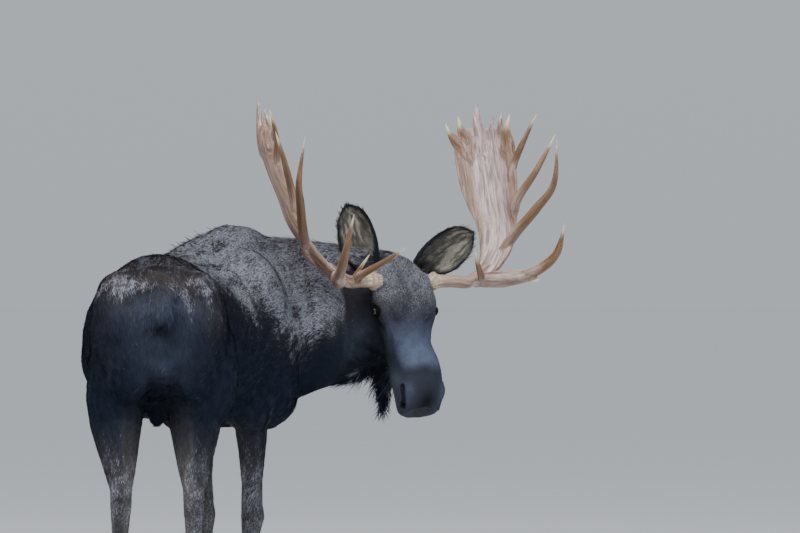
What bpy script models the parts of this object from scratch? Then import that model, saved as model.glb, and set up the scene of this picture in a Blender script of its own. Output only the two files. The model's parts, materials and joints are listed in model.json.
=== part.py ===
"""A bull moose, life size, standing with its body bent to its right and its head turned back over that shoulder.

Frame: metres, +Z up, the floor at Z = 0, the trunk's line from tail to hump along -Y, the animal's left at +X.
The flesh is modelled whole, from lofts along the spine, the legs and the head, and then parted with thin cuts.
"""

import math

import bmesh
import bpy
import numpy as np
from mathutils import Matrix, Vector

# ---- Driving dimensions -------------------------------------------------------------------------------------
HUMP_HEIGHT = 1.79
CROUP_HEIGHT = 1.655
BELLY_HEIGHT = 0.95
HEAD_LENGTH = 0.680
EAR_LENGTH = 0.315
EYE_RADIUS = 0.021
HOOF_HEIGHT = 0.075
PARTING = 0.0004  # the gap that parts one solid from the next

# The spine turns to the animal's right: distance from the rump, heading in degrees from -Y.
SPINE_TURN = (
    (-0.30, -18),
    (0.35, -18),
    (0.75, 0),
    (1.05, 22),
    (1.30, 26),
    (1.60, 40),
    (2.05, 92),
    (2.30, 110),
)
SPINE_STEP = 0.005

# The head: the top of the poll, which way the nose points over the floor, and how far it hangs.
POLL_AT = Vector((-0.6153, -1.6375, 1.645))
HEAD_HEADING = 137.0
HEAD_DROOP = 61.0

FLESH_VOXEL = 0.009
FLESH_TRIANGLES = 2720
FINE_FACTOR = 0.0006  # how much more of its detail the head keeps than the body
FINE_ROUNDS = 4
ANTLER_VOXEL = 0.005
ANTLER_TRIANGLES = 800

COLOURS = {
    "hide": ((0.022, 0.019, 0.020, 1), 0.75),
    "muzzle": ((0.030, 0.027, 0.029, 1), 0.6),
    "antler": ((0.42, 0.27, 0.20, 1), 0.55),
    "hoof": ((0.02, 0.018, 0.016, 1), 0.4),
    "eye": ((0.012, 0.008, 0.006, 1), 0.05),
}


# ---- Small tools --------------------------------------------------------------------------------------------
def clear_scene():
    for obj in list(bpy.data.objects):
        bpy.data.objects.remove(obj)


def material(name):
    if name in bpy.data.materials:
        return bpy.data.materials[name]
    made = bpy.data.materials.new(name)
    made.use_nodes = True
    shader = made.node_tree.nodes["Principled BSDF"]
    colour, roughness = COLOURS[name]
    shader.inputs["Base Color"].default_value = colour
    shader.inputs["Roughness"].default_value = roughness
    shader.inputs["Metallic"].default_value = 0.0
    return made


def object_of(name, bm, finish):
    """A shown object from a bmesh, which it frees."""
    mesh = bpy.data.meshes.new(name)
    bm.normal_update()
    bm.to_mesh(mesh)
    bm.free()
    obj = bpy.data.objects.new(name, mesh)
    bpy.context.scene.collection.objects.link(obj)
    obj.data.materials.append(material(finish))
    return obj


def evaluated(obj):
    """The object's mesh with its modifiers, as a bmesh in world space."""
    bpy.context.view_layer.update()
    graph = bpy.context.evaluated_depsgraph_get()
    shown = obj.evaluated_get(graph)
    bm = bmesh.new()
    bm.from_mesh(shown.to_mesh())
    bm.transform(obj.matrix_world)
    shown.to_mesh_clear()
    return bm


def apply_modifiers(obj):
    bm = evaluated(obj)
    obj.modifiers.clear()
    bm.to_mesh(obj.data)
    bm.free()


def boolean(obj, other, operation):
    """Cuts or joins obj with other, and leaves other where it is."""
    cut = obj.modifiers.new("cut", "BOOLEAN")
    cut.operation = operation
    cut.object = other
    cut.solver = "EXACT"
    apply_modifiers(obj)


def tidy(obj):
    """Keeps the largest body of a mesh, and drops the slivers that a cut leaves."""
    bm = bmesh.new()
    bm.from_mesh(obj.data)
    bmesh.ops.remove_doubles(bm, verts=bm.verts, dist=2e-5)
    bmesh.ops.dissolve_degenerate(bm, edges=bm.edges, dist=2e-5)
    bmesh.ops.triangulate(bm, faces=bm.faces)
    left, bodies = set(bm.verts), []
    while left:
        stack, body = [left.pop()], set()
        while stack:
            vert = stack.pop()
            body.add(vert)
            for edge in vert.link_edges:
                other = edge.other_vert(vert)
                if other in left:
                    left.discard(other)
                    stack.append(other)
        bodies.append(body)
    for body in sorted(bodies, key=len)[:-1]:
        bmesh.ops.delete(bm, geom=list(body), context="VERTS")
    bm.to_mesh(obj.data)
    bm.free()


def copy_of(obj, name):
    twin = obj.copy()
    twin.data = obj.data.copy()
    twin.name = name
    bpy.context.scene.collection.objects.link(twin)
    return twin


def grown(obj, by):
    """A copy whose surface stands out by that distance, as a cutter that leaves a gap."""
    twin = copy_of(obj, obj.name + "_grown")
    twin.hide_render = True
    twin.display_type = "WIRE"
    bm = bmesh.new()
    bm.from_mesh(twin.data)
    bm.normal_update()
    shifts = [vert.normal.copy() for vert in bm.verts]
    for vert, shift in zip(bm.verts, shifts):
        vert.co += shift * by
    bm.to_mesh(twin.data)
    bm.free()
    return twin


def discard(obj):
    bpy.data.objects.remove(obj)


# ---- Rings and lofts ----------------------------------------------------------------------------------------
def rounded(value, power):
    return math.copysign(abs(value) ** power, value)


def ring(centre, side, up, half_width, above, below, taper=0.0, square=2.3, count=28):
    """A closed outline round centre. It is half_width to each side, narrower towards its top by taper."""
    points = []
    for n in range(count):
        angle = 2 * math.pi * n / count
        across = rounded(math.cos(angle), 2 / square)
        height = rounded(math.sin(angle), 2 / square)
        reach = above if height > 0 else below
        narrowing = 1 - taper * max(0.0, height) ** 1.4
        points.append(centre + side * (across * half_width * narrowing) + up * (height * reach))
    return points


def add_loft(bm, rings):
    """Adds one closed tube through rings that have the same number of points."""
    loops = [[bm.verts.new(point) for point in outline] for outline in rings]
    count = len(loops[0])
    for first, second in zip(loops, loops[1:]):
        for n in range(count):
            m = (n + 1) % count
            bm.faces.new((first[n], first[m], second[m], second[n]))
    bm.faces.new(list(reversed(loops[0])))
    bm.faces.new(loops[-1])


def add_ball(bm, centre, axes, radii):
    """Adds an ellipsoid whose radii lie along the three given axes."""
    turn = Matrix(axes).transposed().to_4x4()
    size = Matrix.Diagonal((*radii, 1.0))
    bmesh.ops.create_icosphere(bm, subdivisions=3, radius=1.0, matrix=Matrix.Translation(centre) @ turn @ size)


def smooth_path(points, count):
    """Points along a smooth curve through the given ones."""
    known = [np.array(p, float) for p in points]
    known = [2 * known[0] - known[1], *known, 2 * known[-1] - known[-2]]
    spans = len(known) - 3
    found = []
    for n in range(count):
        place = spans * n / (count - 1)
        k = min(int(place), spans - 1)
        t = place - k
        a, b, c, d = known[k : k + 4]
        found.append(
            0.5 * (2 * b + (c - a) * t + (2 * a - 5 * b + 4 * c - d) * t**2 + (3 * b - a - 3 * c + d) * t**3)
        )
    return [Vector(p) for p in found]


def add_tube(bm, points, radii, flat=1.0, count=12, steps=9):
    """Adds a tapering round or flattened tube along a smooth curve."""
    path = smooth_path(points, steps)
    sizes = np.interp(np.linspace(0, 1, steps), np.linspace(0, 1, len(radii)), radii)
    rings = []
    for n, centre in enumerate(path):
        along = (path[min(n + 1, steps - 1)] - path[max(n - 1, 0)]).normalized()
        side = along.cross(Vector((0.13, 0.31, 0.94))).normalized()
        up = side.cross(along).normalized()
        size = float(sizes[n])
        rings.append(ring(centre, side, up, size * flat, size, size, square=2.0, count=count))
    add_loft(bm, [list(reversed(outline)) for outline in rings])


# ---- The spine's own frame ----------------------------------------------------------------------------------
def heading_vector(degrees):
    """Where that heading points over the floor: 0 is -Y, and it turns to the animal's right."""
    angle = math.radians(degrees)
    return Vector((-math.sin(angle), -math.cos(angle), 0.0))


def spine_heading(distance):
    places, turns = zip(*SPINE_TURN)
    return float(np.interp(distance, places, turns))


def spine_frame(distance):
    """The point of the floor under the spine, the way ahead, and the animal's left."""
    count = max(1, round(abs(distance) / SPINE_STEP))
    step = distance / count
    place = Vector((0.0, 0.0, 0.0))
    for n in range(count):
        place += heading_vector(spine_heading((n + 0.5) * step)) * step
    ahead = heading_vector(spine_heading(distance))
    left = Vector((0, 0, 1)).cross(ahead)
    return place, ahead, left


def beside(frame, forward, left, height):
    place, ahead, side = frame
    return place + ahead * forward + side * left + Vector((0, 0, height))


# ---- Trunk and neck -----------------------------------------------------------------------------------------
# Along the spine: distance, crown height, keel height, half width, share of the height where it is widest, taper.
TRUNK = (
    (0.010, 1.440, 1.180, 0.110, 0.55, 0.00),
    (0.060, 1.530, 1.130, 0.195, 0.55, 0.10),
    (0.160, 1.605, 1.085, 0.255, 0.55, 0.20),
    (0.320, CROUP_HEIGHT, 1.040, 0.285, 0.55, 0.28),
    (0.520, 1.650, 1.020, 0.315, 0.50, 0.28),
    (0.740, 1.645, 0.970, 0.365, 0.44, 0.30),
    (0.940, 1.670, BELLY_HEIGHT, 0.365, 0.42, 0.40),
    (1.100, 1.735, 0.925, 0.335, 0.42, 0.52),
    (1.250, HUMP_HEIGHT, 0.910, 0.300, 0.42, 0.60),
    (1.400, 1.780, 0.920, 0.265, 0.42, 0.55),
    (1.530, 1.725, 0.960, 0.215, 0.45, 0.45),
    (1.610, 1.640, 1.040, 0.140, 0.45, 0.30),
)
NECK = (
    (1.300, 1.770, 1.020, 0.230, 0.42, 0.45),
    (1.480, 1.740, 1.000, 0.210, 0.44, 0.42),
    (1.660, 1.728, 1.030, 0.188, 0.46, 0.40),
    (1.840, 1.706, 1.080, 0.170, 0.48, 0.36),
    (1.990, 1.688, 1.140, 0.156, 0.50, 0.32),
    (2.110, 1.668, 1.220, 0.140, 0.52, 0.30),
    (2.180, 1.640, 1.300, 0.115, 0.52, 0.25),
)


def add_spine_loft(bm, stations):
    rings = []
    for distance, crown, keel, half_width, widest, taper in stations:
        frame = spine_frame(distance)
        height = keel + (crown - keel) * widest
        centre = beside(frame, 0, 0, height)
        rings.append(
            ring(centre, frame[2], Vector((0, 0, 1)), half_width, crown - height, height - keel, taper)
        )
    add_loft(bm, rings)


def add_trunk_masses(bm):
    """Brisket, shoulder blades, upper arms, hip points and the swell of the haunches."""
    up = Vector((0, 0, 1))
    for side in (1, -1):
        withers = spine_frame(1.20)
        axes = (withers[1], withers[2], up)
        add_ball(bm, beside(withers, 0.02, side * 0.150, 1.31), axes, (0.25, 0.140, 0.37))
        add_ball(bm, beside(withers, 0.11, side * 0.180, 1.14), axes, (0.19, 0.110, 0.20))
        add_ball(bm, beside(withers, -0.02, side * 0.195, 1.02), axes, (0.12, 0.085, 0.13))
        pelvis = spine_frame(0.25)
        axes = (pelvis[1], pelvis[2], up)
        add_ball(bm, beside(pelvis, 0.00, side * 0.155, 1.33), axes, (0.235, 0.135, 0.26))
        add_ball(bm, beside(pelvis, -0.10, side * 0.125, 1.25), axes, (0.15, 0.115, 0.22))
        add_ball(bm, beside(pelvis, 0.24, side * 0.160, 1.49), axes, (0.12, 0.085, 0.09))
        add_ball(bm, beside(pelvis, 0.14, side * 0.190, 1.10), axes, (0.15, 0.100, 0.17))
    # the body bends to the right, so the right haunch swells out further
    add_ball(bm, beside(pelvis, 0.05, -0.210, 1.17), axes, (0.17, 0.125, 0.25))
    chest = spine_frame(1.44)
    axes = (chest[1], chest[2], up)
    add_ball(bm, beside(chest, 0.02, 0, 1.06), axes, (0.20, 0.155, 0.17))
    groin = spine_frame(0.40)
    add_ball(bm, beside(groin, 0, 0, 1.010), (groin[1], groin[2], up), (0.055, 0.048, 0.080))
    paunch = spine_frame(0.86)
    add_ball(bm, beside(paunch, 0, 0.06, 1.22), (paunch[1], paunch[2], up), (0.40, 0.335, 0.27))


# ---- Legs ---------------------------------------------------------------------------------------------------
# Down each leg: height, place ahead of the leg's post, half depth, half width, shift outwards.
HIND_LEG = (
    (1.380, 0.02, 0.200, 0.120, -0.025),
    (1.200, 0.02, 0.205, 0.135, -0.010),
    (1.060, 0.06, 0.175, 0.128, 0.000),
    (0.950, 0.05, 0.136, 0.114, 0.000),
    (0.850, 0.00, 0.104, 0.091, 0.000),
    (0.760, -0.06, 0.080, 0.068, 0.000),
    (0.690, -0.095, 0.066, 0.048, 0.000),
    (0.630, -0.095, 0.064, 0.046, 0.000),
    (0.560, -0.080, 0.048, 0.039, 0.000),
    (0.470, -0.070, 0.038, 0.032, 0.000),
    (0.330, -0.060, 0.034, 0.029, 0.000),
    (0.230, -0.052, 0.038, 0.033, 0.000),
    (0.180, -0.042, 0.044, 0.040, 0.000),
    (0.125, -0.018, 0.040, 0.040, 0.000),
    (0.085, 0.004, 0.044, 0.047, 0.000),
    (0.045, 0.012, 0.040, 0.043, 0.000),
)
FORE_LEG = (
    (1.150, 0.03, 0.125, 0.085, -0.010),
    (1.020, 0.00, 0.112, 0.082, 0.000),
    (0.930, 0.00, 0.090, 0.072, 0.000),
    (0.820, 0.01, 0.070, 0.060, 0.000),
    (0.700, 0.015, 0.053, 0.047, 0.000),
    (0.610, 0.020, 0.050, 0.045, 0.000),
    (0.550, 0.025, 0.055, 0.050, 0.000),
    (0.490, 0.020, 0.046, 0.043, 0.000),
    (0.420, 0.012, 0.035, 0.033, 0.000),
    (0.300, 0.010, 0.031, 0.029, 0.000),
    (0.220, 0.010, 0.036, 0.034, 0.000),
    (0.175, 0.014, 0.043, 0.040, 0.000),
    (0.125, 0.032, 0.038, 0.040, 0.000),
    (0.085, 0.050, 0.043, 0.047, 0.000),
    (0.045, 0.058, 0.040, 0.043, 0.000),
)
HIND_POST, FORE_POST = 0.27, 1.25  # along the spine
HIND_TRACK, FORE_TRACK = 0.165, 0.150  # each foot from the middle line

# name: place along the spine, side, track, stride, leg, heading of the toes against the spine
LEGS = {
    "hind_left": (HIND_POST, 1, HIND_TRACK, 0.035, HIND_LEG, -6),
    "hind_right": (HIND_POST, -1, HIND_TRACK - 0.018, -0.035, HIND_LEG, 6),
    "fore_left": (FORE_POST, 1, FORE_TRACK, 0.060, FORE_LEG, -9),
    "fore_right": (FORE_POST, -1, FORE_TRACK, -0.050, FORE_LEG, -2),
}


def leg_frame(name):
    """The leg's own place on the floor, ahead and left. The stride moves the foot, and fades out up the leg."""
    post, side, track, _, _, toe = LEGS[name]
    place, _, left = spine_frame(post)
    ahead = heading_vector(spine_heading(post) + toe)
    return place + left * side * track, ahead, Vector((0, 0, 1)).cross(ahead)


def leg_centre(name, height, forward, outward):
    post, side, _, stride, leg, _ = LEGS[name]
    reach = stride * (1 - min(1.0, height / leg[0][0]))
    return beside(leg_frame(name), forward + reach, side * outward, height)


def add_leg(bm, name):
    leg = LEGS[name][4]
    frame = leg_frame(name)
    rings = []
    for height, forward, half_depth, half_width, outward in leg:
        centre = leg_centre(name, height, forward, outward)
        rings.append(ring(centre, frame[2], frame[1], half_width, half_depth, half_depth, 0.12, 2.1, 20))
    add_loft(bm, [list(reversed(outline)) for outline in rings])
    up = Vector((0, 0, 1))
    axes = (frame[1], frame[2], up)
    if leg is HIND_LEG:
        heel = leg_centre(name, 0.690, -0.150, 0)
        add_ball(bm, heel, axes, (0.030, 0.026, 0.045))
        add_tube(
            bm,
            [leg_centre(name, z, y, 0) for z, y in ((0.95, -0.06), (0.82, -0.115), (0.70, -0.150))],
            (0.05, 0.022, 0.020),
        )
    else:
        add_ball(bm, leg_centre(name, 0.985, -0.115, 0), axes, (0.040, 0.034, 0.055))
        add_ball(bm, leg_centre(name, 0.545, 0.040, 0), axes, (0.045, 0.044, 0.048))


def hoof_outline(name, claw, height, front, back, half_width):
    """One claw's outline at a height: round behind and pointed in front."""
    side = LEGS[name][1]
    frame = leg_frame(name)
    toe_at = {"hind": 0.010, "fore": 0.056}[name[:4]]
    middle = leg_centre(name, 0.0, toe_at, 0)
    middle.z = height
    points, count = [], 10
    for n in range(count):
        angle = 2 * math.pi * n / count
        along, across = math.cos(angle), math.sin(angle)
        reach = front if along > 0 else back
        narrowing = 1 - 0.62 * max(0.0, along) ** 1.5
        lean = claw * side * (0.0265 - 0.010 * max(0.0, along))
        points.append(middle + frame[1] * (along * reach) + frame[2] * (across * half_width * narrowing + lean))
    return points


def make_hooves(name):
    """Two claws under the foot, and two dewclaws behind it."""
    for claw, label in ((1, "outer"), (-1, "inner")):
        bm = bmesh.new()
        outlines = [
            hoof_outline(name, claw, 0.0, 0.092, 0.052, 0.0250),
            hoof_outline(name, claw, 0.028, 0.080, 0.050, 0.0246),
            hoof_outline(name, claw, HOOF_HEIGHT, 0.043, 0.040, 0.0225),
        ]
        add_loft(bm, [list(reversed(outline)) for outline in outlines])
        bmesh.ops.recalc_face_normals(bm, faces=bm.faces)
        object_of(f"hoof_{name}_{label}", bm, "hoof")


def make_dewclaws(name, lower_leg):
    behind = {"hind": -0.095, "fore": -0.040}[name[:4]]
    side = LEGS[name][1]
    for claw, label in ((1, "outer"), (-1, "inner")):
        bm = bmesh.new()
        out = claw * 0.021
        points = [
            leg_centre(name, 0.150, behind + 0.045, out * 0.9),
            leg_centre(name, 0.135, behind + 0.014, out),
            leg_centre(name, 0.108, behind - 0.004, out * 1.05),
        ]
        add_tube(bm, points, (0.016, 0.0155, 0.005), count=6, steps=3)
        bmesh.ops.recalc_face_normals(bm, faces=bm.faces)
        dewclaw = object_of(f"dewclaw_{name}_{label}", bm, "hoof")
        boolean(dewclaw, lower_leg, "DIFFERENCE")
        tidy(dewclaw)


# ---- Head ---------------------------------------------------------------------------------------------------
def head_axes():
    """The nose's direction, the animal's left, and up out of the forehead."""
    level = heading_vector(HEAD_HEADING)
    droop = math.radians(HEAD_DROOP)
    up = Vector((0, 0, 1))
    nose = level * math.cos(droop) - up * math.sin(droop)
    crown = level * math.sin(droop) + up * math.cos(droop)
    return nose, crown.cross(nose), crown


def in_head(along, left, out):
    """A place in the head: along the face from the poll, to the left, and out of the forehead."""
    nose, side, crown = head_axes()
    return POLL_AT + nose * along + side * left + crown * out


# Along the face: distance from the poll, brow line, underside, half width, share where widest, taper.
SKULL = (
    (-0.050, -0.030, -0.200, 0.082, 0.50, 0.25),
    (0.010, 0.004, -0.225, 0.110, 0.52, 0.25),
    (0.080, 0.030, -0.250, 0.128, 0.55, 0.22),
    (0.150, 0.030, -0.262, 0.134, 0.60, 0.22),
    (0.220, 0.014, -0.262, 0.130, 0.62, 0.25),
    (0.290, -0.008, -0.244, 0.119, 0.60, 0.28),
    (0.360, -0.018, -0.214, 0.113, 0.57, 0.25),
    (0.425, -0.014, -0.196, 0.113, 0.56, 0.20),
    (0.480, -0.006, -0.192, 0.116, 0.56, 0.16),
    (0.535, -0.006, -0.198, 0.115, 0.54, 0.16),
    (0.585, -0.016, -0.208, 0.111, 0.52, 0.16),
    (0.630, -0.038, -0.220, 0.106, 0.50, 0.17),
    (0.662, -0.066, -0.220, 0.098, 0.48, 0.16),
    (HEAD_LENGTH, -0.102, -0.202, 0.078, 0.46, 0.14),
)
JAW = (
    (0.170, -0.140, -0.285, 0.074, 0.50, 0.0),
    (0.260, -0.150, -0.276, 0.062, 0.50, 0.0),
    (0.370, -0.165, -0.248, 0.052, 0.50, 0.0),
    (0.470, -0.178, -0.236, 0.048, 0.50, 0.0),
    (0.545, -0.178, -0.244, 0.051, 0.50, 0.0),
    (0.592, -0.186, -0.238, 0.040, 0.50, 0.0),
)
BROW = (  # the ridge over the eye: along the face, to the side, out of the forehead, radius
    (0.050, 0.086, -0.026, 0.034),
    (0.130, 0.100, -0.030, 0.044),
    (0.200, 0.111, -0.036, 0.048),
    (0.256, 0.107, -0.052, 0.043),
    (0.325, 0.088, -0.066, 0.030),
    (0.430, 0.064, -0.074, 0.018),
)
HEAD_MASSES = (  # on each side: place along, to the side and out, and the radii along those ways
    (0.205, 0.078, -0.160, 0.170, 0.056, 0.095),  # jaw muscle
    (0.320, 0.076, -0.095, 0.120, 0.036, 0.034),  # cheekbone
    (0.600, 0.066, -0.110, 0.058, 0.044, 0.062),  # side of the nostril
    (0.175, 0.066, -0.014, 0.130, 0.066, 0.048),  # slope from the antler's foot down to the brow
    (0.110, 0.020, -0.004, 0.110, 0.092, 0.046),  # bridge between the antlers' feet
)
BURR_AT = (0.125, 0.146, 0.004)  # along the face, to the side, out of the forehead


def add_head(bm):
    nose, side, crown = head_axes()
    for stations in (SKULL, JAW):
        rings = []
        for along, brow, under, half_width, widest, taper in stations:
            height = under + (brow - under) * widest
            centre = in_head(along, 0, height)
            rings.append(ring(centre, side, crown, half_width, brow - height, height - under, taper, 2.25))
        add_loft(bm, rings)
    axes = (nose, side, crown)
    for mirror in (1, -1):
        add_tube(bm, [in_head(a, mirror * x, o) for a, x, o, _ in BROW], [size for *_, size in BROW], steps=7)
        pedicle = [in_head(BURR_AT[0], mirror * x, -0.008) for x in (0.04, 0.095, 0.142)]
        add_tube(bm, pedicle, (0.060, 0.048, 0.037), steps=7)
        for along, left, out, *radii in HEAD_MASSES:
            add_ball(bm, in_head(along, mirror * left, out), axes, radii)
    add_ball(bm, in_head(0.075, 0, 0.010), axes, (0.085, 0.088, 0.032))  # the knoll between the antlers


BELL = ((0.00, 0.060, 0.034), (0.10, 0.052, 0.030), (0.20, 0.040, 0.024), (0.27, 0.026, 0.016), (0.31, 0.010, 0.008))
BELL_TOP = (0.275, -0.232)  # along the face, and out of the forehead


def add_bell(bm):
    """The flap of skin and hair that hangs from the throat: depth below its top, half depth, half width."""
    top = in_head(BELL_TOP[0], 0, BELL_TOP[1])
    level = heading_vector(HEAD_HEADING)
    side = Vector((0, 0, 1)).cross(level)
    rings = []
    for drop, half_depth, half_width in BELL:
        centre = top - Vector((0, 0, drop)) - level * (0.12 * drop)
        rings.append(ring(centre, side, level, half_width, half_depth, half_depth, 0, 2.0, 16))
    add_loft(bm, [list(reversed(outline)) for outline in rings])


EYE_SPOT = (0.242, 0.142, -0.048)  # along the face, to the side, out of the forehead


def make_eye(side, label):
    along, across, out = EYE_SPOT
    bm = bmesh.new()
    nose, left, crown = head_axes()
    add_ball_small(bm, in_head(along, side * across, out), EYE_RADIUS)
    return object_of(f"eye_{label}", bm, "eye")


def add_ball_small(bm, centre, radius):
    bmesh.ops.create_uvsphere(bm, u_segments=10, v_segments=7, radius=radius, matrix=Matrix.Translation(centre))


# ---- Ears ---------------------------------------------------------------------------------------------------
# side: where the ear points (out, ahead, up), where it opens, in the antlers' heading, and how far out it stands.
EARS = {
    "left": (1, (0.86, -0.05, 0.52), (-0.20, 0.95, -0.10), 0.148),
    "right": (-1, (0.20, -0.32, 0.90), (0.68, 0.72, 0.10), 0.106),
}
EAR_FOOT = (0.020, -0.060)  # along the face, and out of the forehead
EAR_WIDTH = 0.165
EAR_SKIN = 0.007


def level_axes(mirror, heading):
    """Outwards for that side, ahead, and up, over the floor in that heading."""
    ahead = heading_vector(heading)
    up = Vector((0, 0, 1))
    return up.cross(ahead) * mirror, ahead, up


def make_ear(label):
    mirror, points_to, opens_to, aside = EARS[label]
    out, ahead, up = level_axes(mirror, RACK_HEADING)
    axis = (out * points_to[0] + ahead * points_to[1] + up * points_to[2]).normalized()
    mouth = out * opens_to[0] + ahead * opens_to[1] + up * opens_to[2]
    mouth = (mouth - axis * mouth.dot(axis)).normalized()
    across = axis.cross(mouth)
    foot = in_head(EAR_FOOT[0], mirror * aside, EAR_FOOT[1])
    lengthwise, crosswise = 8, 7
    bm = bmesh.new()
    grid = []
    for n in range(lengthwise):
        t = n / (lengthwise - 1)
        half_width = EAR_WIDTH / 2 * (0.42 + 0.60 * math.sin(math.pi * min(1.0, t * 0.98) ** 0.95) ** 0.8)
        half_width *= 1 - 0.80 * max(0.0, (t - 0.72) / 0.28) ** 2.2
        spread = math.radians(118 - 66 * t)
        radius = half_width / math.sin(min(spread, math.pi / 2))
        row = []
        for m in range(crosswise):
            angle = spread * (2 * m / (crosswise - 1) - 1)
            # the back of the cup leans away from the mouth, and the tip comes forward a little
            centre = foot + axis * (EAR_LENGTH * t - 0.02) + mouth * (0.02 * t * t + radius * 0.55)
            row.append(bm.verts.new(centre + across * (radius * math.sin(angle)) - mouth * (radius * math.cos(angle))))
        grid.append(row)
    for first, second in zip(grid, grid[1:]):
        for a, b, c, d in zip(first, first[1:], second[1:], second):
            bm.faces.new((a, b, c, d))
    bmesh.ops.recalc_face_normals(bm, faces=bm.faces)
    ear = object_of(f"ear_{label}", bm, "hide")
    wall = ear.modifiers.new("wall", "SOLIDIFY")
    wall.thickness = EAR_SKIN
    wall.offset = 0
    apply_modifiers(ear)
    return ear


# ---- Antlers ------------------------------------------------------------------------------------------------
# The antlers are set a little askew on the head. Places in one are out from its foot, ahead over the floor, and up.
RACK_AT = Vector((-0.6716, -1.5902, 1.5376))  # midway between the two feet
RACK_HEADING = 146.5
FEET_HEADING = 142.5
FEET_APART = 0.256
# Up the palm: height, middle out, middle ahead, width, half thickness.
PALM = (
    (0.000, 0.205, 0.040, 0.050, 0.028),
    (0.060, 0.255, 0.028, 0.115, 0.026),
    (0.140, 0.307, -0.010, 0.168, 0.021),
    (0.240, 0.344, -0.085, 0.212, 0.0165),
    (0.350, 0.350, -0.154, 0.275, 0.0145),
    (0.440, 0.360, -0.204, 0.315, 0.0135),
    (0.560, 0.369, -0.272, 0.318, 0.0120),
    (0.640, 0.371, -0.294, 0.290, 0.0110),
    (0.680, 0.369, -0.310, 0.230, 0.0085),
)
PALM_CUP = 0.16  # depth of the blade's hollow against its width
# Tines that rise from the blade's edge: root and tip across the blade from its middle, their heights, and radius.
EDGE_TINES = (
    (0.145, 0.400, 0.350, 0.636, 0.0185),
    (0.140, 0.305, 0.500, 0.730, 0.0170),
    (0.122, 0.160, 0.600, 0.730, 0.0145),
    (0.075, 0.104, 0.610, 0.736, 0.0135),
    (0.025, 0.040, 0.630, 0.724, 0.0120),
    (-0.045, -0.046, 0.600, 0.789, 0.0210),
    (-0.100, -0.122, 0.610, 0.727, 0.0150),
    (-0.125, -0.186, 0.580, 0.697, 0.0140),
)
FORE_TINE = ((0.325, -0.02, 0.08), (0.352, 0.06, 0.19), (0.40, 0.20, 0.315), (0.436, 0.30, 0.42), (0.418, 0.370, 0.605))
FORE_CUT = (0.362, 0.09, 0.215)  # where that tine parts from the palm
# What differs from one antler to the other: the blade's turn, the brow branch, and the tines on it.
SIDES = {
    "left": {
        "mirror": 1,
        "turn": 32,
        "lean": 0.0,
        "fore": 0.0,
        "branch": ((0.180, 0.010, 0.000), (0.265, 0.130, 0.010), (0.350, 0.250, 0.024)),
        "tines": (
            (((0.325, 0.215, 0.020), (0.380, 0.305, 0.060), (0.415, 0.385, 0.128), (0.410, 0.470, 0.248)), 0.0250),
            (((0.205, 0.030, 0.000), (0.190, 0.080, 0.020), (0.150, 0.140, 0.070), (0.120, 0.170, 0.142)), 0.0175),
            (((0.335, 0.235, 0.016), (0.362, 0.260, 0.004), (0.380, 0.278, 0.010)), 0.0140),
        ),
    },
    "right": {
        "mirror": -1,
        "turn": 20,
        "lean": 0.09,
        "fore": 0.016,
        "branch": ((0.180, 0.010, 0.000), (0.240, 0.110, 0.004), (0.280, 0.220, 0.010)),
        "tines": (
            (((0.270, 0.190, 0.008), (0.285, 0.285, 0.055), (0.290, 0.370, 0.140), (0.275, 0.450, 0.281)), 0.0235),
            (((0.110, 0.010, 0.000), (0.125, 0.110, 0.026), (0.090, 0.270, 0.080), (0.030, 0.400, 0.140)), 0.0185),
            (((0.130, 0.030, 0.010), (0.125, 0.085, 0.050), (0.090, 0.125, 0.116)), 0.0135),
        ),
    },
}


def add_tine(bm, points, radius):
    """A tine that stays stout for most of its length and then comes to a blunt point."""
    add_tube(bm, points, (radius, radius * 0.93, radius * 0.84, radius * 0.62, 0.0035), steps=9)


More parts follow.
